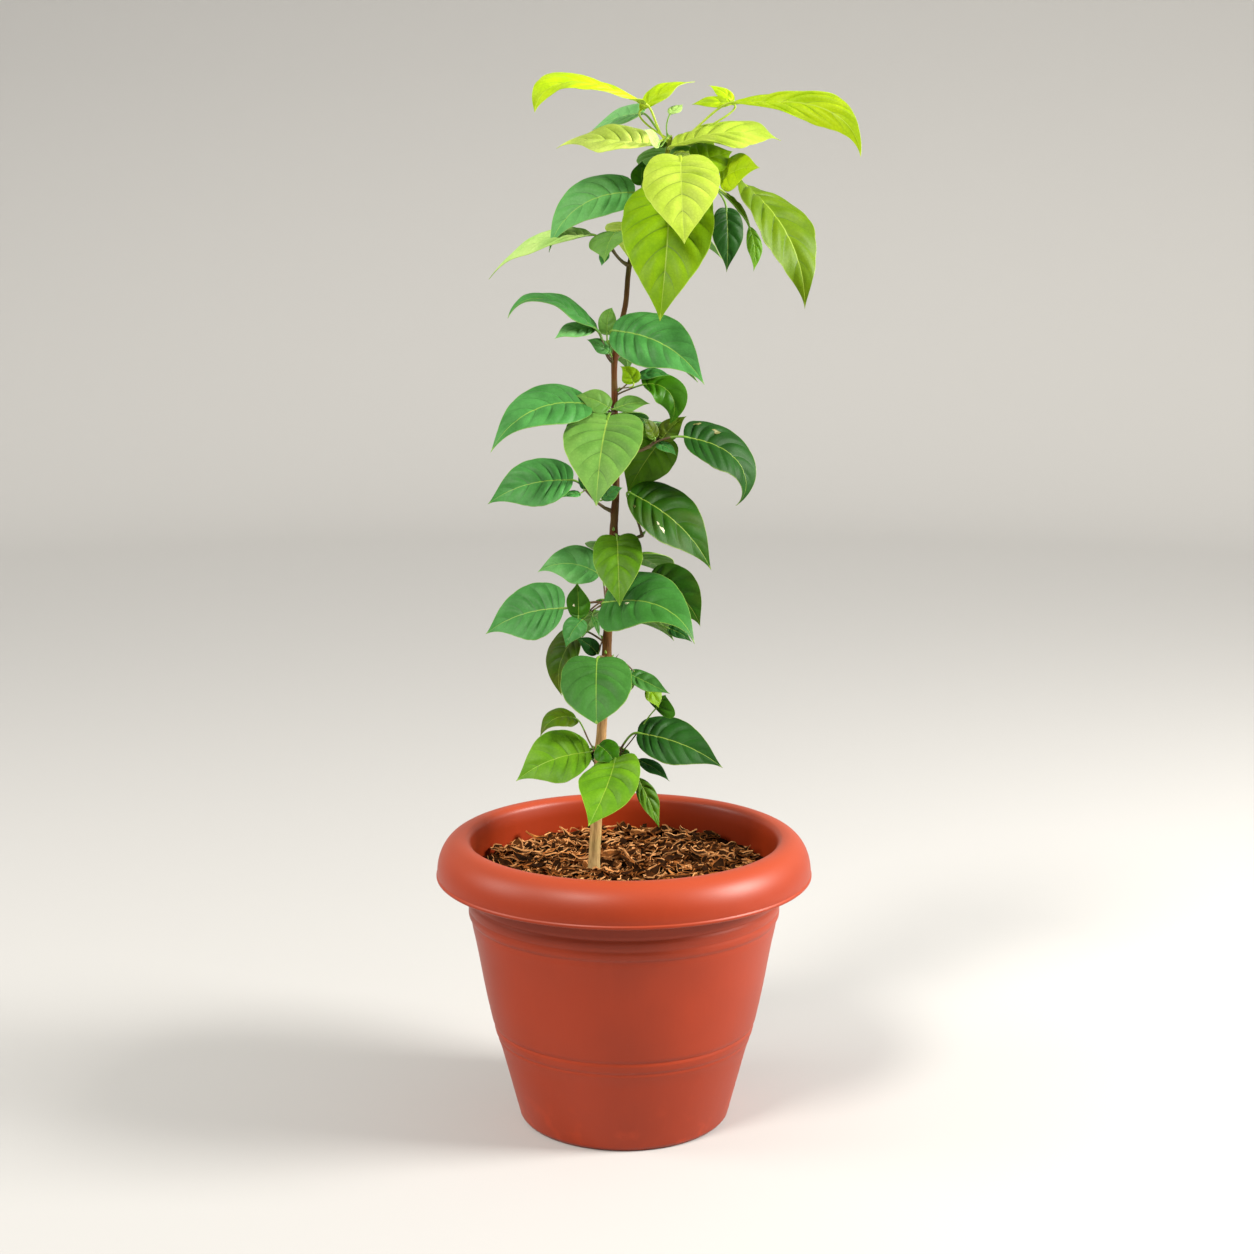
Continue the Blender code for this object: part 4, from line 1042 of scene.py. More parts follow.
# Buds and dry twig ends on the trunk: height, heading, reach out, rise and radius in millimetres
SPURS = ((370, -20, 9, 12, 0.8), (288, -105, 3.5, 3, 1.6), (338, 60, 7, 7, 0.8),
         (497, -60, 3, 6, 0.9), (529, 120, 7, 8, 0.7))
SPUR_TAPER = ((0, 1.3), (0.3, 1), (0.6, 0.7), (0.85, 0.35), (1, 0.08))  # share and radius
SPUR_SIDES, SPUR_SUNK = 10, 0.5  # and the share of the trunk's radius where one starts
BARK_BANDS = (
    # height above the pot's underside, young bark's colour there
    (0.20, (0.40, 0.29, 0.13)), (0.235, (0.53, 0.345, 0.135)), (0.30, (0.54, 0.32, 0.13)),
    (0.345, (0.38, 0.20, 0.08)), (0.385, (0.105, 0.043, 0.006)), (0.47, (0.11, 0.034, 0.009)),
    (0.60, (0.12, 0.034, 0.007)), (0.68, (0.08, 0.040, 0.005)), (0.78, (0.26, 0.32, 0.02)),
)


STREAK_STRETCH, STREAK_DETAIL, STREAK_EDGE = (900, 900, 60), 5, (0.4, 0.7)
STREAK_SHADE = (0.56, 0.50, 0.44)
GREEN_BARK = ((0.10, 0.13, 0.03), 0.22)  # the green that shows through in patches, and how much
GREEN_NOISE, GREEN_EDGE = (85, 4), (0.45, 0.65)
BARK_ROUGHNESS, BARK_SPECULAR = 0.62, 0.18
STREAK_DEPTH = 0.12 * MM


def make_bark_material():
    """Bark that is tan at the foot, reddish brown above and green at the tip, with fine streaks."""
    tree = new_material("young_bark")
    place = object_place(tree)
    low, high = BARK_BANDS[0][0], BARK_BANDS[-1][0]
    level = ramp(tree, upward(tree, place), low, high, "LINEAR")
    bands = add_node(tree, "ShaderNodeValToRGB", {"Fac": level})
    stops = bands.color_ramp.elements
    while len(stops) < len(BARK_BANDS):
        stops.new(0.5)
    for stop, (height, colour) in zip(stops, BARK_BANDS):
        stop.position = (height - low) / (high - low)
        stop.color = opaque(colour)
    streaks = noise_value(tree, place, 1, STREAK_DETAIL, STREAK_STRETCH)
    patches = noise_value(tree, place, *GREEN_NOISE)
    dark = blend_colours(tree, ramp(tree, streaks, *STREAK_EDGE), bands.outputs["Color"],
                         opaque(STREAK_SHADE), mode="MULTIPLY")
    green = blend_colours(tree, GREEN_BARK[1], dark, opaque(GREEN_BARK[0]))
    colour = blend_colours(tree, ramp(tree, patches, *GREEN_EDGE), dark, green)
    dress(tree, colour, BARK_ROUGHNESS, BARK_SPECULAR, streaks, STREAK_DEPTH)


TRUNK_SUNK = 4 * MM  # how far the trunk goes on down into the mulch
TIP_ROUNDING = (0.8, 0.3)  # what is left of the radius at the last two rings


class BAEL_OT_trunk(bpy.types.Operator):
    """Makes the trunk's bark with its ridges, swollen nodes, pores, buds and dry twig ends"""
    bl_idname = "bael.trunk"
    bl_label = "Trunk"

    def execute(self, context):
        settings = context.scene.bael_bark
        make_bark_material()
        foot, top = TRUNK_BENDS[0][0] * MM - TRUNK_SUNK, TRUNK_BENDS[-1][0] * MM
        rings = round((top - foot) / settings.step)
        heights = [mix(foot, top, ring / rings) for ring in range(rings + 1)]
        points = [trunk_middle(height) for height in heights]
        for point, height in zip(points, heights):
            point.z = height
        radii = [trunk_radius(height) for height in heights]
        radii[-2:] = [radius * left for radius, left in zip(radii[-2:], TIP_ROUNDING)]
        shell = Shell()
        sweep(shell, points, radii, settings.sides, "young_bark", bark_lump(settings))
        for height, heading, reach, rise, wide in SPURS:
            out, _, _ = axes(heading, 0)
            root = trunk_middle(height * MM) + out * trunk_radius(height * MM) * SPUR_SUNK
            tip = root + (out * reach + Vector((0, 0, rise))) * MM
            sweep(shell, [root.lerp(tip, share) for share, _ in SPUR_TAPER],
                  [wide * MM * radius for _, radius in SPUR_TAPER], SPUR_SIDES, "young_bark")
        shell.piece("trunk_bark", "trunk", "trunk", sharp_above=70)
        return {"FINISHED"}


# ---------------------------------------------------------------- leaves

def bezier(corners, share):
    """A point of the cubic curve that four corners shape, from the first to the last."""
    rest = 1 - share
    weights = (rest ** 3, 3 * rest * rest * share, 3 * rest * share * share, share ** 3)
    return Vector([sum(w * c for w, c in zip(weights, axis)) for axis in zip(*corners)])


def outline(kind, share):
    """A point of the half outline, as shares of the blade's length and width."""
    corners = BLADE_OUTLINES[kind]
    if share < WIDEST_SHARE:
        return bezier(corners[:4], share / WIDEST_SHARE)
    return bezier(corners[3:], (share - WIDEST_SHARE) / (1 - WIDEST_SHARE))


class Midrib:
    """The curve of a blade from base to tip, bending down by its droop and left by its sway."""

    STEPS = 24
    UNTWISTED = 0.4  # of its length, where the twist leaves the blade as it is

    def __init__(self, leaf, foot):
        self.foot = foot
        self.length = leaf.length * MM
        self.roll = math.radians(leaf.roll)
        self.twist = math.radians(leaf.twist)
        droop, sway = math.radians(leaf.droop), math.radians(leaf.sway)
        self.standing = Vector((0, -math.sin(self.roll), math.cos(self.roll)))
        self.turns = [Vector((-droop * (step / self.STEPS) ** leaf.bend, sway * step / self.STEPS))
                      for step in range(self.STEPS + 1)]
        spots = [Vector((0, 0, 0))]
        for first, second in zip(self.turns, self.turns[1:]):
            spots.append(spots[-1] + self.way((first + second) / 2))
        chord = spots[-1]
        level = chord.rotation_difference(Vector((1, 0, 0))).to_matrix()
        self.pose = Matrix(axes(leaf.heading, leaf.pitch)).transposed() @ level
        self.spots = [spot / chord.length for spot in spots]

    def way(self, turn):
        """The direction after a turn down and a turn to the left of the rolled blade."""
        down = Vector((math.cos(turn.x), 0, math.sin(turn.x)))
        return Matrix.Rotation(turn.y, 3, self.standing) @ down

    def at(self, share):
        """The midrib's point and its direction, left and up at a share of its length."""
        place = share * self.STEPS
        step = clamp(int(place), 0, self.STEPS - 1)
        part = place - step
        spot = mix(self.spots[step], self.spots[step + 1], part)
        turn = self.turns[step].lerp(self.turns[step + 1], clamp(part))
        point = self.foot + self.pose @ spot * self.length
        ahead = self.pose @ self.way(turn)
        left = self.pose @ (Matrix.Rotation(turn.y, 3, self.standing) @ Vector((0, 1, 0)))
        above = ahead.cross(left)
        roll = self.roll + self.twist * (clamp(share) - self.UNTWISTED)
        left = left * math.cos(roll) + above * math.sin(roll)
        return point, ahead, left, ahead.cross(left)


BASE_SHARE = 0.02  # of the outline's parameter, where the two halves part from the midrib
VEIN_POWER = 2.3  # gathers the side veins near a blade's base
VEIN_PLACES = (0.29, 0.84)  # of the first and last side vein, in the outline's parameter
VEIN_CONTROL = (0.30, 0.70)  # how a side vein leaves the midrib and bends to the margin
ACROSS = (0, 0.08, 0.20, 0.34, 0.49, 0.64, 0.78, 0.90, 0.982, 1)
MARGIN_FROM = 0.98  # across, where the pale margin begins
TIP_FROM = 0.965  # along, where the pale tip begins
MIDRIB_SHARE = 0.0075  # half its width at the base, of the blade's length
MIDRIB_TAPER = 0.7  # power by which it narrows to the tip
MIDRIB_SINK = 0.15 * MM
MIDRIB_KEEL = 0.9  # of half its width, how far it stands out below
VEIN_SHARE = 0.0058  # half its width where it starts, for a side vein
VEIN_DEPTH = 0.4 * MM
SOFT_FOLD = 1.6 * MM  # how gently the two halves meet at the midrib
CAMBER = 0.17  # how far each half arches down to its margin, of its width
CAMBER_SPREAD = 0.4  # how unlike each other the blades are in that
HAND_SHIFT = 2  # radians by which the left margin's ripple is ahead of the right one's
FRILL = 0.35  # of the ripple's height, how high the finer ripple on it is
FRILL_TURNS = 21
CROWN_POWERS = (0.8, 0.7)  # how boxy the swelling between two veins is, along and across
UNEVEN = 0.35  # how unlike each other the swellings are
UNEVEN_TURNS = 37
# What even the smallest leaf has of a full-grown one's, as a share, and the millimetres of length
# over which the whole of it comes
THICKNESS_GROWTH, VEIN_GROWTH, STALK_GROWTH = (0, 40), (0.3, 110), (0.45, 130)
FEWEST_VEINS = 3
SCALLOP = 0.014  # how far the margin swells between two veins, of the half width
SWELL_WIDTH = 2.2  # how soon the swelling between the veins fades where a blade narrows
CELL_STEPS = 5  # rows of faces between a vein and the next
TIP_STEPS = 7
SCAR_SIDES, SCAR_RINGS = 14, 3
SCAR_LIFT = 0.16 * MM  # above the skin
SCAR_EDGE_DROP = 0.2 * MM  # how far its edge goes down into the skin
SCAR_NARROW = 0.55  # its reach along the blade, of its reach across


def grown(leaf, least, whole):
    """The share that a leaf has of what a full-grown one has."""
    return min(1, least + leaf.length / whole)


def vein_places(count):
    return [mix(*VEIN_PLACES, number / (count - 1)) for number in range(count)]


def vein_rows(count):
    """Rows across the blade from base to tip: place, side of a vein, and phase between veins."""
    rows = [(BASE_SHARE, 0, 0.0)]
    start = BASE_SHARE
    for place in vein_places(count):
        for step in range(1, CELL_STEPS + 1):
            phase = step / (CELL_STEPS + 1)
            rows.append((mix(start, place, phase), 0, phase))
        rows += [(place, -1, 0.0), (place, 1, 0.0)]
        start = place
    rows += [(mix(start, 1, step / TIP_STEPS), 0, step / TIP_STEPS)
             for step in range(1, TIP_STEPS)]
    rows.append((1, 0, 0.0))
    return rows


def crowding(share):
    """How close side veins start on the midrib at a share: 1 is far apart, 0 all in one."""
    return min(1, VEIN_POWER * share ** (VEIN_POWER - 1))


class Blade:
    """The surface of one leaf, as points by row and by place across."""

    def __init__(self, leaf, midrib, ripple, settings):
        self.leaf, self.midrib, self.ripple = leaf, midrib, ripple
        self.length, self.width = leaf.length * MM, leaf.width * MM
        self.thickness = settings.thickness * grown(leaf, *THICKNESS_GROWTH)
        self.veins = max(FEWEST_VEINS, round(settings.veins * grown(leaf, *VEIN_GROWTH)))
        self.rows = vein_rows(self.veins)
        self.swell = settings.quilting * self.length / (self.veins + 1)
        self.camber = CAMBER * (1 + CAMBER_SPREAD * math.sin(ripple * 5))
        self.family = "lime" if leaf.tint in LIME_TINTS else "green"

    def rib_half(self, along):
        return MIDRIB_SHARE * self.length * (1 - clamp(along)) ** MIDRIB_TAPER

    def plan(self, row, across):
        """Along and across of a point of a row, in shares of length and in metres."""
        share, side, phase = row
        start_x = share ** VEIN_POWER
        end_x, end_y = outline(self.leaf.kind, share)
        swell = 1 + self.leaf.wave * SCALLOP * (math.sin(math.pi * phase) - 0.5)
        start = (start_x, self.rib_half(start_x))
        end = (end_x, max(end_y * self.width * swell, start[1] * (1 - share)))
        bend = (mix(start_x, end_x, VEIN_CONTROL[0]), mix(start[1], end[1], VEIN_CONTROL[1]))
        rest = 1 - across
        x, y = (rest * rest * s + 2 * rest * across * b + across * across * e
                for s, b, e in zip(start, bend, end))
        return x + side * VEIN_SHARE * crowding(share) * rest ** 0.5, y

    def point(self, row, across, hand, skin):
        """A point of the blade, left (hand 1) or right (-1) of its midrib, at a height skin.

        The bare numbers in the waves only keep them out of step from blade to blade.
        """
        share, side, phase = row
        x, out = self.plan(row, across)
        out = out if hand else 0.0
        spot, _, left, up = self.midrib.at(x)
        lift = math.tan(math.radians(FOLD)) * (math.hypot(out, SOFT_FOLD) - SOFT_FOLD)
        lift -= self.camber * out * out / (self.width / 2)
        wave = math.sin(self.ripple + RIPPLE_TURNS * share + (HAND_SHIFT if hand > 0 else 0))
        wave += FRILL * math.sin(2.7 * self.ripple + FRILL_TURNS * share + 1.7 * hand)
        lift += (self.leaf.wave * RIPPLE * self.length * wave * across * across
                 * math.sin(math.pi * share))
        crown = math.sin(math.pi * phase) ** CROWN_POWERS[0]
        crown *= math.sin(math.pi * min(across ** CROWN_POWERS[1], 1))
        crown *= min(1, SWELL_WIDTH * outline(self.leaf.kind, share)[1])
        crown *= mix(crowding(share), 1, across)
        turn = 9 * self.ripple + UNEVEN_TURNS * share + 5 * across * hand
        lift += self.swell * crown * (1 + UNEVEN * math.sin(turn))
        lift -= VEIN_DEPTH * (1 - across) if side else 0.0
        if hand == 0:
            lift -= MIDRIB_SINK * (1 - share)
            skin -= MIDRIB_KEEL * self.rib_half(x) if skin < 0 else 0
        return spot + left * out * hand + up * (lift + skin)

    def finish(self, row, inner, upper):
        """The finish of a face between a row and the next. inner is its inner end's place across,
        or None beside the midrib.
        """
        tint = self.leaf.tint
        if inner is None:
            return "rib_" + tint if upper else "underrib_" + self.family
        if ACROSS[inner] >= MARGIN_FROM or row[0] >= TIP_FROM:
            return "margin_" + tint
        # the strip along a sunken side vein is darkened as painted shade
        if row[1] == -1:
            return "crease_" + tint if upper else "underrib_" + self.family
        return "leaf_" + tint if upper else "under_" + self.family

    def add_to(self, shell):
        """Adds the blade's two skins and the edge that joins them."""
        half = len(ACROSS)
        columns = [(across, -1) for across in reversed(ACROSS)] + [(0, 0)]
        columns += [(across, 1) for across in ACROSS]
        inners = [half - 2 - column for column in range(half - 1)] + [None, None]
        inners += list(range(half - 1))
        wide = len(columns)
        points, faces, names = [], [], []
        for skin in (self.thickness / 2, -self.thickness / 2):
            for row in self.rows:
                points += [self.point(row, across, hand, skin) for across, hand in columns]
        under = len(self.rows) * wide
        for place, row in enumerate(self.rows[:-1]):
            for column, inner in enumerate(inners):
                corner = place * wide + column
                quad = (corner, corner + 1, corner + wide + 1, corner + wide)
                faces += [tuple(reversed(quad)), tuple(c + under for c in quad)]
                names += [self.finish(row, inner, True), self.finish(row, inner, False)]
        edge = [place * wide for place in range(len(self.rows))]
        tip = [(len(self.rows) - 1) * wide + column for column in range(1, wide)]
        back = [place * wide + wide - 1 for place in reversed(range(len(self.rows) - 1))]
        base = list(reversed(range(1, wide - 1)))
        loop = edge + tip + back + base
        for here, there in zip(loop, loop[1:] + loop[:1]):
            faces.append((here, there, there + under, here + under))
            names.append("margin_" + self.leaf.tint)
        shell.add(points, faces, names)
        for scar in self.leaf.scars:
            self.add_scar(shell, *scar)

    def phase(self, share):
        """Where a share lies between the side veins on both sides of it, from 0 to 1."""
        stops = [BASE_SHARE] + vein_places(self.veins) + [1]
        for low, high in zip(stops, stops[1:]):
            if share <= high:
                return (share - low) / (high - low)
        return 0.0

    def add_scar(self, shell, share, across, hand, size, finish):
        """A thin patch on the upper skin, in an uneven outline: a dry scar, or a patch of painted sheen."""
        def at(spot, skin):
            return self.point((spot[0], 0, self.phase(spot[0])), spot[1], hand, skin)

        circles = []
        for ring in range(1, SCAR_RINGS + 1):
            circles.append([])
            for side in range(SCAR_SIDES):
                turn = math.tau * side / SCAR_SIDES
                reach = size * MM * ring / SCAR_RINGS * (
                    1 + 0.25 * math.sin(3 * turn + size) + 0.15 * math.sin(5 * turn + 2))
                circles[-1].append((share + SCAR_NARROW * reach / self.length * math.cos(turn),
                                    across + reach / self.width * math.sin(turn)))
        skin = self.thickness / 2
        top, middle = skin + SCAR_LIFT, (share, across)
        skins = [top] * (SCAR_RINGS - 1) + [skin - SCAR_EDGE_DROP, 0]
        rings = [[at(spot, height) for spot in spots]
                 for spots, height in zip(circles + circles[-1:], skins)]
        points, faces = stacked(at(middle, top), rings, at(middle, 0))
        if hand < 0:
            faces = [tuple(reversed(face)) for face in faces]
        shell.add(points, faces, finish)


STALK_STEPS = 18
STALK_SIDES = 10
STALK_BROWN = 0.5  # of a stalk's length that is brown
STALK_SUNK = (0.03, 0.07)  # shares of the midrib along which a stalk runs on into its blade
STALK_UNDER = 0.3 * MM  # how far below the midrib it does
STALK_SLIM, STALK_SWELL = 0.9, 0.4  # of its radius: its middle, and what its ends add
STALK_ENDS = ((1, 0.08), (0.7, 0.12))  # shares of that at its two ends, and over how much of it
STALK_TIP = 0.55  # of its radius at the very end


def stalk_points(start, setting_out, midrib):
    """From a stalk's start, setting out one way, to its blade, coming in along the midrib."""
    base, ahead, _, up = midrib.at(0)
    reach = (base - start).length
    lead = start + setting_out * reach * STALK_LEAD
    trail = base - ahead * reach * STALK_TRAIL
    points = [bezier((start, lead, trail, base), step / (STALK_STEPS - 1))
              for step in range(STALK_STEPS)]
    return points + [midrib.at(share)[0] - up * STALK_UNDER for share in STALK_SUNK]


def add_stalk(shell, start, setting_out, midrib, leaf, settings, high):
    """A leaf stalk, a little swollen where it begins and where its blade does."""
    points = stalk_points(start, setting_out, midrib)
    last = len(points) - 1
    wide = settings.stalk * grown(leaf, *STALK_GROWTH)
    radii, bands = [], []
    for place in range(last + 1):
        share = place / last
        swell = sum(size * math.exp(-(way / span) ** 2)
                    for way, (size, span) in zip((share, 1 - share), STALK_ENDS))
        radii.append(wide * (STALK_SLIM + STALK_SWELL * swell) * (STALK_TIP if place == last else 1))
        bands.append("stalk_brown" if share < STALK_BROWN and not high else
                     "stalk_lime" if leaf.tint in LIME_TINTS else "stalk_green")
    sweep(shell, points, radii, STALK_SIDES, bands[:-1])


LONG_STEM = 10  # millimetres, from which a shoot has a twig of its own
TWIG_BOW = 0.10  # of a twig's length, how far it sags
TWIG_LINE = ((0, 0), (0.25, 0.75), (0.5, 1), (0.75, 0.75), (1, 0))  # along, and of that sag
TWIG_SUNK = 0.3  # of the way from the trunk's middle, where it starts
JOINT_ENDS = (1.1 * MM, 1.7 * MM)  # how far its joint goes on past its end
# A twig's radii in millimetres: at its root and collar, along its bow, and at its joint
TWIG_RADII = (2.1, 1.8, 1.35, 1.2, 1.2, 1.55, 1.25, 0.4)
TWIG_SIDES = 14
# A bud's shape as shares of its length: along, and its radius there
BUD_SHAPE = ((0, 0.18), (0.25, 0.26), (0.55, 0.22), (0.85, 0.10), (1, 0.02))
BUD_SIDES = 8
BUD_LENGTH = 4.2 * MM
BUD_RISE = 1.4  # how steeply a bud stands up
BUD_INSET = 1.2 * MM  # from where its shoot's stem would start, back towards the trunk


def add_twig(shell, middle, start, knob, finish):
    """A side twig that grows out of the trunk with a collar, bows and ends in a joint."""
    bow = Vector((0, 0, -TWIG_BOW * (knob - start).length))
    ahead = (knob - start).normalized()
    line = [middle.lerp(start, TWIG_SUNK)]
    line += [start.lerp(knob, share) + bow * sag for share, sag in TWIG_LINE]
    line += [knob + ahead * reach for reach in JOINT_ENDS]
    sweep(shell, line, [radius * MM for radius in TWIG_RADII], TWIG_SIDES, finish)


def add_bud(shell, spot, ahead):
    """A small pointed bud in the corner between the trunk and a stalk."""
    sweep(shell, [spot + ahead * BUD_LENGTH * share for share, _ in BUD_SHAPE],
          [BUD_LENGTH * radius for _, radius in BUD_SHAPE], BUD_SIDES, "stalk_green")


# How the seeded leaves of a back shoot vary, in millimetres and degrees: out from the trunk, up
# from the shoot, and every other one further up; length against the shoot's own, and the rest
BACK_OUT, BACK_UP, BACK_OTHER_UP = (14, 5), (5, 3), 9
BACK_LENGTHS = (0.9, 1.05)
BACK_PITCHES, BACK_ROLLS, BACK_TURN = (-30, -16), (-12, 12), 6
BACK_WIDTH, BACK_DROOP, BACK_STEM = 0.6, 35, 5


def grow_back_shoot(back):
    """A shoot whose leaves are drawn from its seed, fanned out on the side that faces away."""
    rule = random.Random(back.seed)
    lime = back.height > LIME_ABOVE
    tints = BACK_LIME_TINTS if lime else BACK_TINTS
    leaves = []
    for number in range(back.leaves):
        share = number / max(back.leaves - 1, 1) - 0.5
        heading = back.heading + back.spread * share + rule.uniform(-BACK_TURN, BACK_TURN)
        out, _, _ = axes(heading, 0)
        reach = BACK_OUT[0] + rule.uniform(0, BACK_OUT[1])
        rise = BACK_UP[0] + rule.uniform(-BACK_UP[1], BACK_UP[1]) + BACK_OTHER_UP * (number % 2)
        length = back.length * rule.uniform(*BACK_LENGTHS)
        tint = tints[(number + back.seed) % len(tints)]
        leaves.append(Leaf(tint, "ovate", (out.x * reach, out.y * reach, rise), heading,
                           rule.uniform(*BACK_PITCHES), rule.uniform(*BACK_ROLLS),
                           length, length * BACK_WIDTH, BACK_DROOP))
    finish = "lime_leaf" if lime else "green_leaf"
    return Shoot(back.name, back.height, back.heading, BACK_STEM, finish, tuple(leaves))


NODE_SPREAD = 2.0 * MM  # between the stalks that leave one node
NODE_SUNK = 0.6  # of the trunk's radius, where a stalk starts inside it


def grow_shoot(shoot, settings):
    """One shoot as two pieces: its blades, and its twig, leaf stalks and bud."""
    height = shoot.height * MM
    middle = trunk_middle(height)
    out = square_to_trunk(height, shoot.heading)
    start = middle + out * (trunk_radius(height) + STEM_START)
    knob = start + out * shoot.stem * MM + Vector((0, 0, STEM_RISE * shoot.stem * MM))
    if shoot.twig:
        knob = middle + Vector(shoot.twig) * MM
    high = shoot.finish == "lime_leaf"
    blades, stalks = Shell(), Shell()
    long = shoot.twig or shoot.stem > LONG_STEM
    if long:
        add_twig(stalks, middle, start, knob, "stalk_green" if high else "stalk_brown")
    rule = random.Random(shoot.name)
    for number, leaf in enumerate(shoot.leaves + shoot.young):
        foot = Vector(leaf.foot) * MM
        midrib = Midrib(leaf, middle + foot)
        Blade(leaf, midrib, rule.uniform(0, 6), settings).add_to(blades)
        if long and foot.dot(knob - middle) > 0:
            root, side = knob, (middle + foot - knob).normalized()
        else:
            side = Vector((foot.x, foot.y, 0)).normalized()
            level = height + (number % 3 - 1) * NODE_SPREAD
            root = trunk_middle(level) + side * trunk_radius(level) * NODE_SUNK
        add_stalk(stalks, root, side + Vector((0, 0, STALK_LIFT)), midrib, leaf, settings, high)
    bud_up = (out + Vector((0, 0, BUD_RISE))).normalized()
    add_bud(stalks, (knob if long else start - out * BUD_INSET) + bud_up * MM, bud_up)
    blades.piece(shoot.name + "_blades", shoot.finish, shoot.name)
    stalks.piece(shoot.name + "_stalks", shoot.finish, shoot.name)


class BAEL_OT_shoots(bpy.types.Operator):
    """Grows every shoot: its twig, leaf stalks, bud and veined blades"""
    bl_idname = "bael.shoots"
    bl_label = "Shoots and leaves"

    def execute(self, context):
        settings = context.scene.bael_leaf
        make_leaf_materials()
        for shoot in (*SHOOTS, *map(grow_back_shoot, BACK_SHOOTS)):
            grow_shoot(shoot, settings)
        return {"FINISHED"}


# ---------------------------------------------------------------- stage

CAMERA_PLACE = (0.0024, -1.733, 0.716)
CAMERA_PITCH = -10.27  # degrees above level
SENSOR_WIDTH = 36
AIM = Vector((0, 0, 0.45))  # what the lights face
PANEL_SIZE = 0.85
# Each soft panel: name, the setting that gives its power, and place
PANELS = (("right", "key", (2.0, -0.35, 1.35)), ("left", "fill", (-1.9, -0.2, 1.25)))
PANEL_COLOUR = (1.0, 0.97, 0.92)
SUN_PLACE, SUN_COLOUR = (-1.3, -1.9, 2.9), (1.0, 0.96, 0.88)
SKY_COLOUR = (1.0, 0.99, 0.975)
FLOOR_ROUGHNESS, FLOOR_SPECULAR, FLOOR_GRAIN = 0.9, 0.1, 0.01 * MM
FLOOR_MIDDLE, FLOOR_RADIUS = 0.5, 3.4
FLOOR_SWEEP = 1.3  # radius of the curve that takes the floor up into the wall
FLOOR_SWEEP_STEPS = 12
FLOOR_SIDES = 96
WALL_HEIGHT = 2.8


def make_floor(settings):
    """A round pale floor that sweeps up into a plain wall."""
    mottled_material("plain_floor", settings.floor, settings.floor, FLOOR_ROUGHNESS,
                     depth=FLOOR_GRAIN, specular=FLOOR_SPECULAR)
    profile = [(FLOOR_MIDDLE, 0), (FLOOR_RADIUS, 0)]
    for step in range(1, FLOOR_SWEEP_STEPS + 1):
        turn = math.radians(90 * step / FLOOR_SWEEP_STEPS)
        profile.append((FLOOR_RADIUS + FLOOR_SWEEP * math.sin(turn),
                        FLOOR_SWEEP * (1 - math.cos(turn))))
    profile.append((FLOOR_RADIUS + FLOOR_SWEEP, WALL_HEIGHT))
    rings = [[Vector((x, y, height)) for x, y in circle(radius, FLOOR_SIDES)]
             for radius, height in profile]
    points, faces = stacked(Vector((0, 0, 0)), rings)
    mesh = bpy.data.meshes.new("floor")
    mesh.from_pydata(points, [], faces)
    mesh.shade_smooth()
    mesh.materials.append(bpy.data.materials["plain_floor"])
    floor = bpy.data.objects.new("floor", mesh)
    bpy.context.scene.collection.objects.link(floor)


def add_light(name, kind, place, power, colour):
    """A light that faces the plant."""
    lamp = bpy.data.lights.new(name, kind)
    lamp.energy = power
    lamp.color = colour
    thing = bpy.data.objects.new(name, lamp)
    thing.location = place
    thing.rotation_euler = (AIM - Vector(place)).to_track_quat("-Z", "Y").to_euler()
    bpy.context.scene.collection.objects.link(thing)
    return lamp


def add_camera(settings):
    lens = bpy.data.cameras.new("camera")
    lens.sensor_width = SENSOR_WIDTH
    lens.lens = settings.lens
    camera = bpy.data.objects.new("camera", lens)
    camera.location = CAMERA_PLACE
    camera.rotation_euler = (math.radians(90 + CAMERA_PITCH), 0, 0)
    bpy.context.scene.collection.objects.link(camera)
    bpy.context.scene.camera = camera


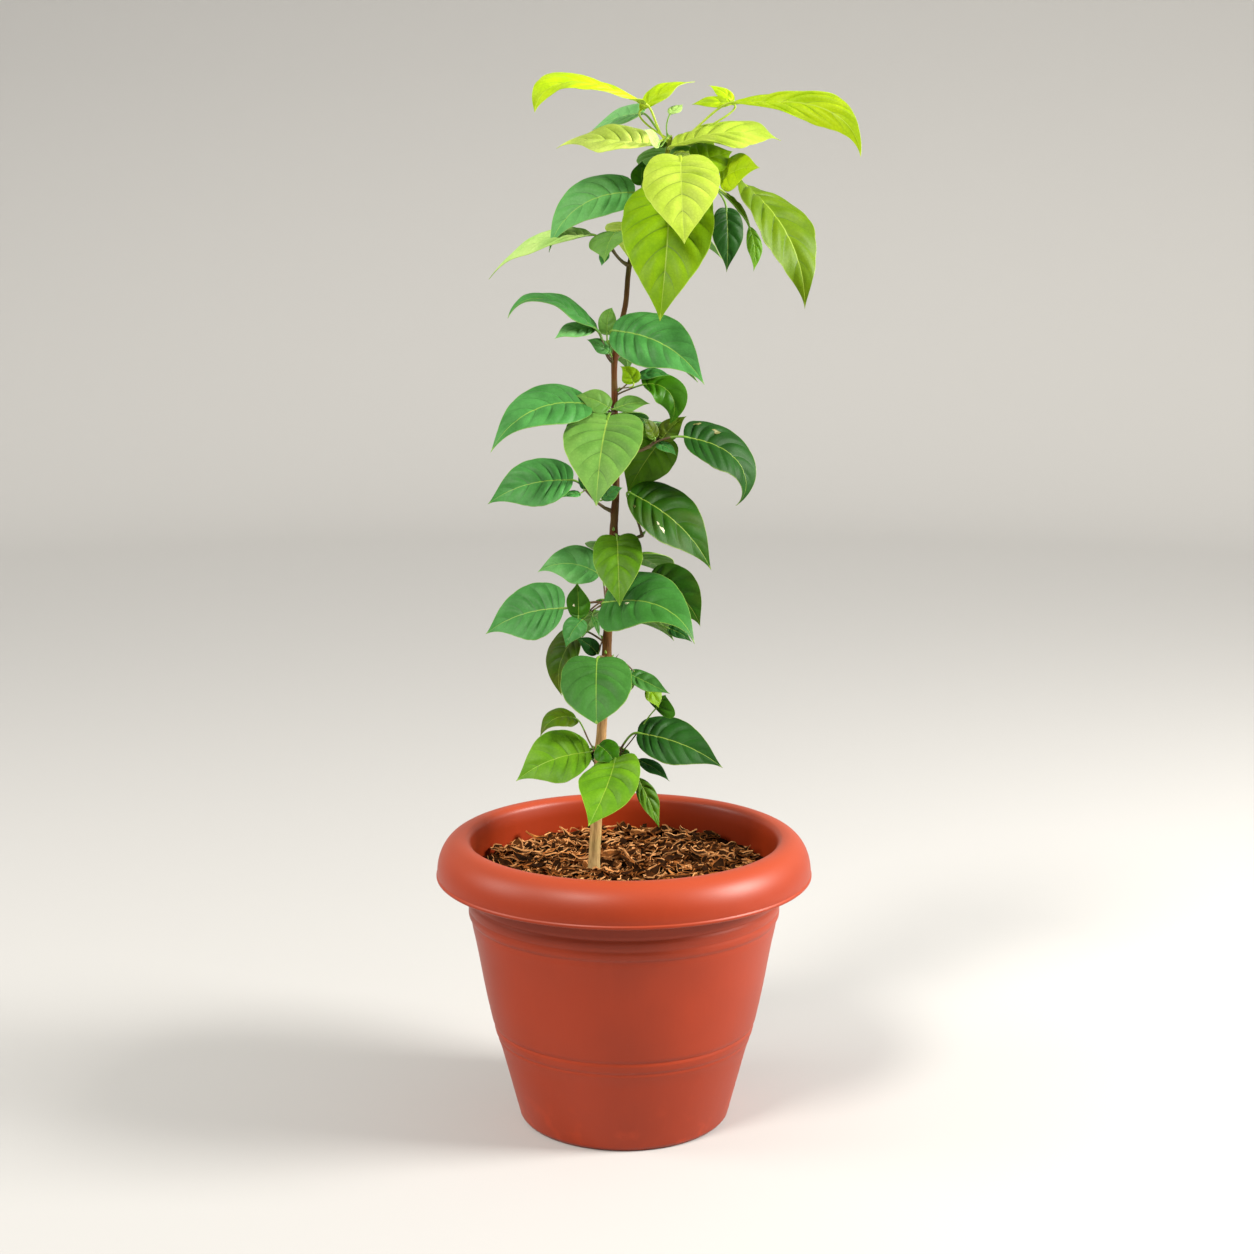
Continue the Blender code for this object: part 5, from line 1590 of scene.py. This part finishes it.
class BAEL_OT_stage(bpy.types.Operator):
    """Sets the plain floor, the soft studio lights, the even sky and the camera"""
    bl_idname = "bael.stage"
    bl_label = "Stage"

    def execute(self, context):
        settings = context.scene.bael_stage
        make_floor(settings)
        sun = add_light("sun", "SUN", SUN_PLACE, settings.sun, SUN_COLOUR)
        sun.angle = settings.sun_width
        for name, setting, place in PANELS:
            panel = add_light(name, "AREA", place, getattr(settings, setting), PANEL_COLOUR)
            panel.size = PANEL_SIZE
        world = bpy.data.worlds.new("even_sky")
        world.use_nodes = True
        sky = world.node_tree.nodes["Background"]
        sky.inputs["Color"].default_value = opaque(SKY_COLOUR)
        sky.inputs["Strength"].default_value = settings.sky
        context.scene.world = world
        context.scene.view_settings.view_transform = "Standard"
        add_camera(settings)
        return {"FINISHED"}


# ---------------------------------------------------------------- add-on

class BAEL_PT_panel(bpy.types.Panel):
    """Lists what the potted bael tree is made of"""
    bl_idname = "BAEL_PT_panel"
    bl_label = "Potted bael tree"
    bl_space_type = "VIEW_3D"
    bl_region_type = "UI"
    bl_category = "Bael tree"

    def draw(self, context):
        scene = context.scene
        for operator, settings, group in PANEL_ROWS:
            box = self.layout.box()
            box.operator(operator.bl_idname)
            for name in group.__annotations__:
                box.prop(getattr(scene, settings), name)


# Each operator, its settings' name in the scene, and their class
PANEL_ROWS = (
    (BAEL_OT_pot, "bael_pot", PotSettings), (BAEL_OT_mulch, "bael_mulch", MulchSettings),
    (BAEL_OT_trunk, "bael_bark", BarkSettings), (BAEL_OT_shoots, "bael_leaf", LeafSettings),
    (BAEL_OT_stage, "bael_stage", StageSettings),
)


def register():
    for operator, name, group in PANEL_ROWS:
        bpy.utils.register_class(group)
        bpy.utils.register_class(operator)
        setattr(bpy.types.Scene, name, PointerProperty(type=group))
    bpy.utils.register_class(BAEL_PT_panel)


def unregister():
    bpy.utils.unregister_class(BAEL_PT_panel)
    for operator, name, group in reversed(PANEL_ROWS):
        delattr(bpy.types.Scene, name)
        bpy.utils.unregister_class(operator)
        bpy.utils.unregister_class(group)


def main():
    register()
    bpy.ops.bael.pot()
    bpy.ops.bael.mulch()
    bpy.ops.bael.trunk()
    bpy.ops.bael.shoots()
    bpy.ops.bael.stage()


if __name__ == "__main__":
    main()
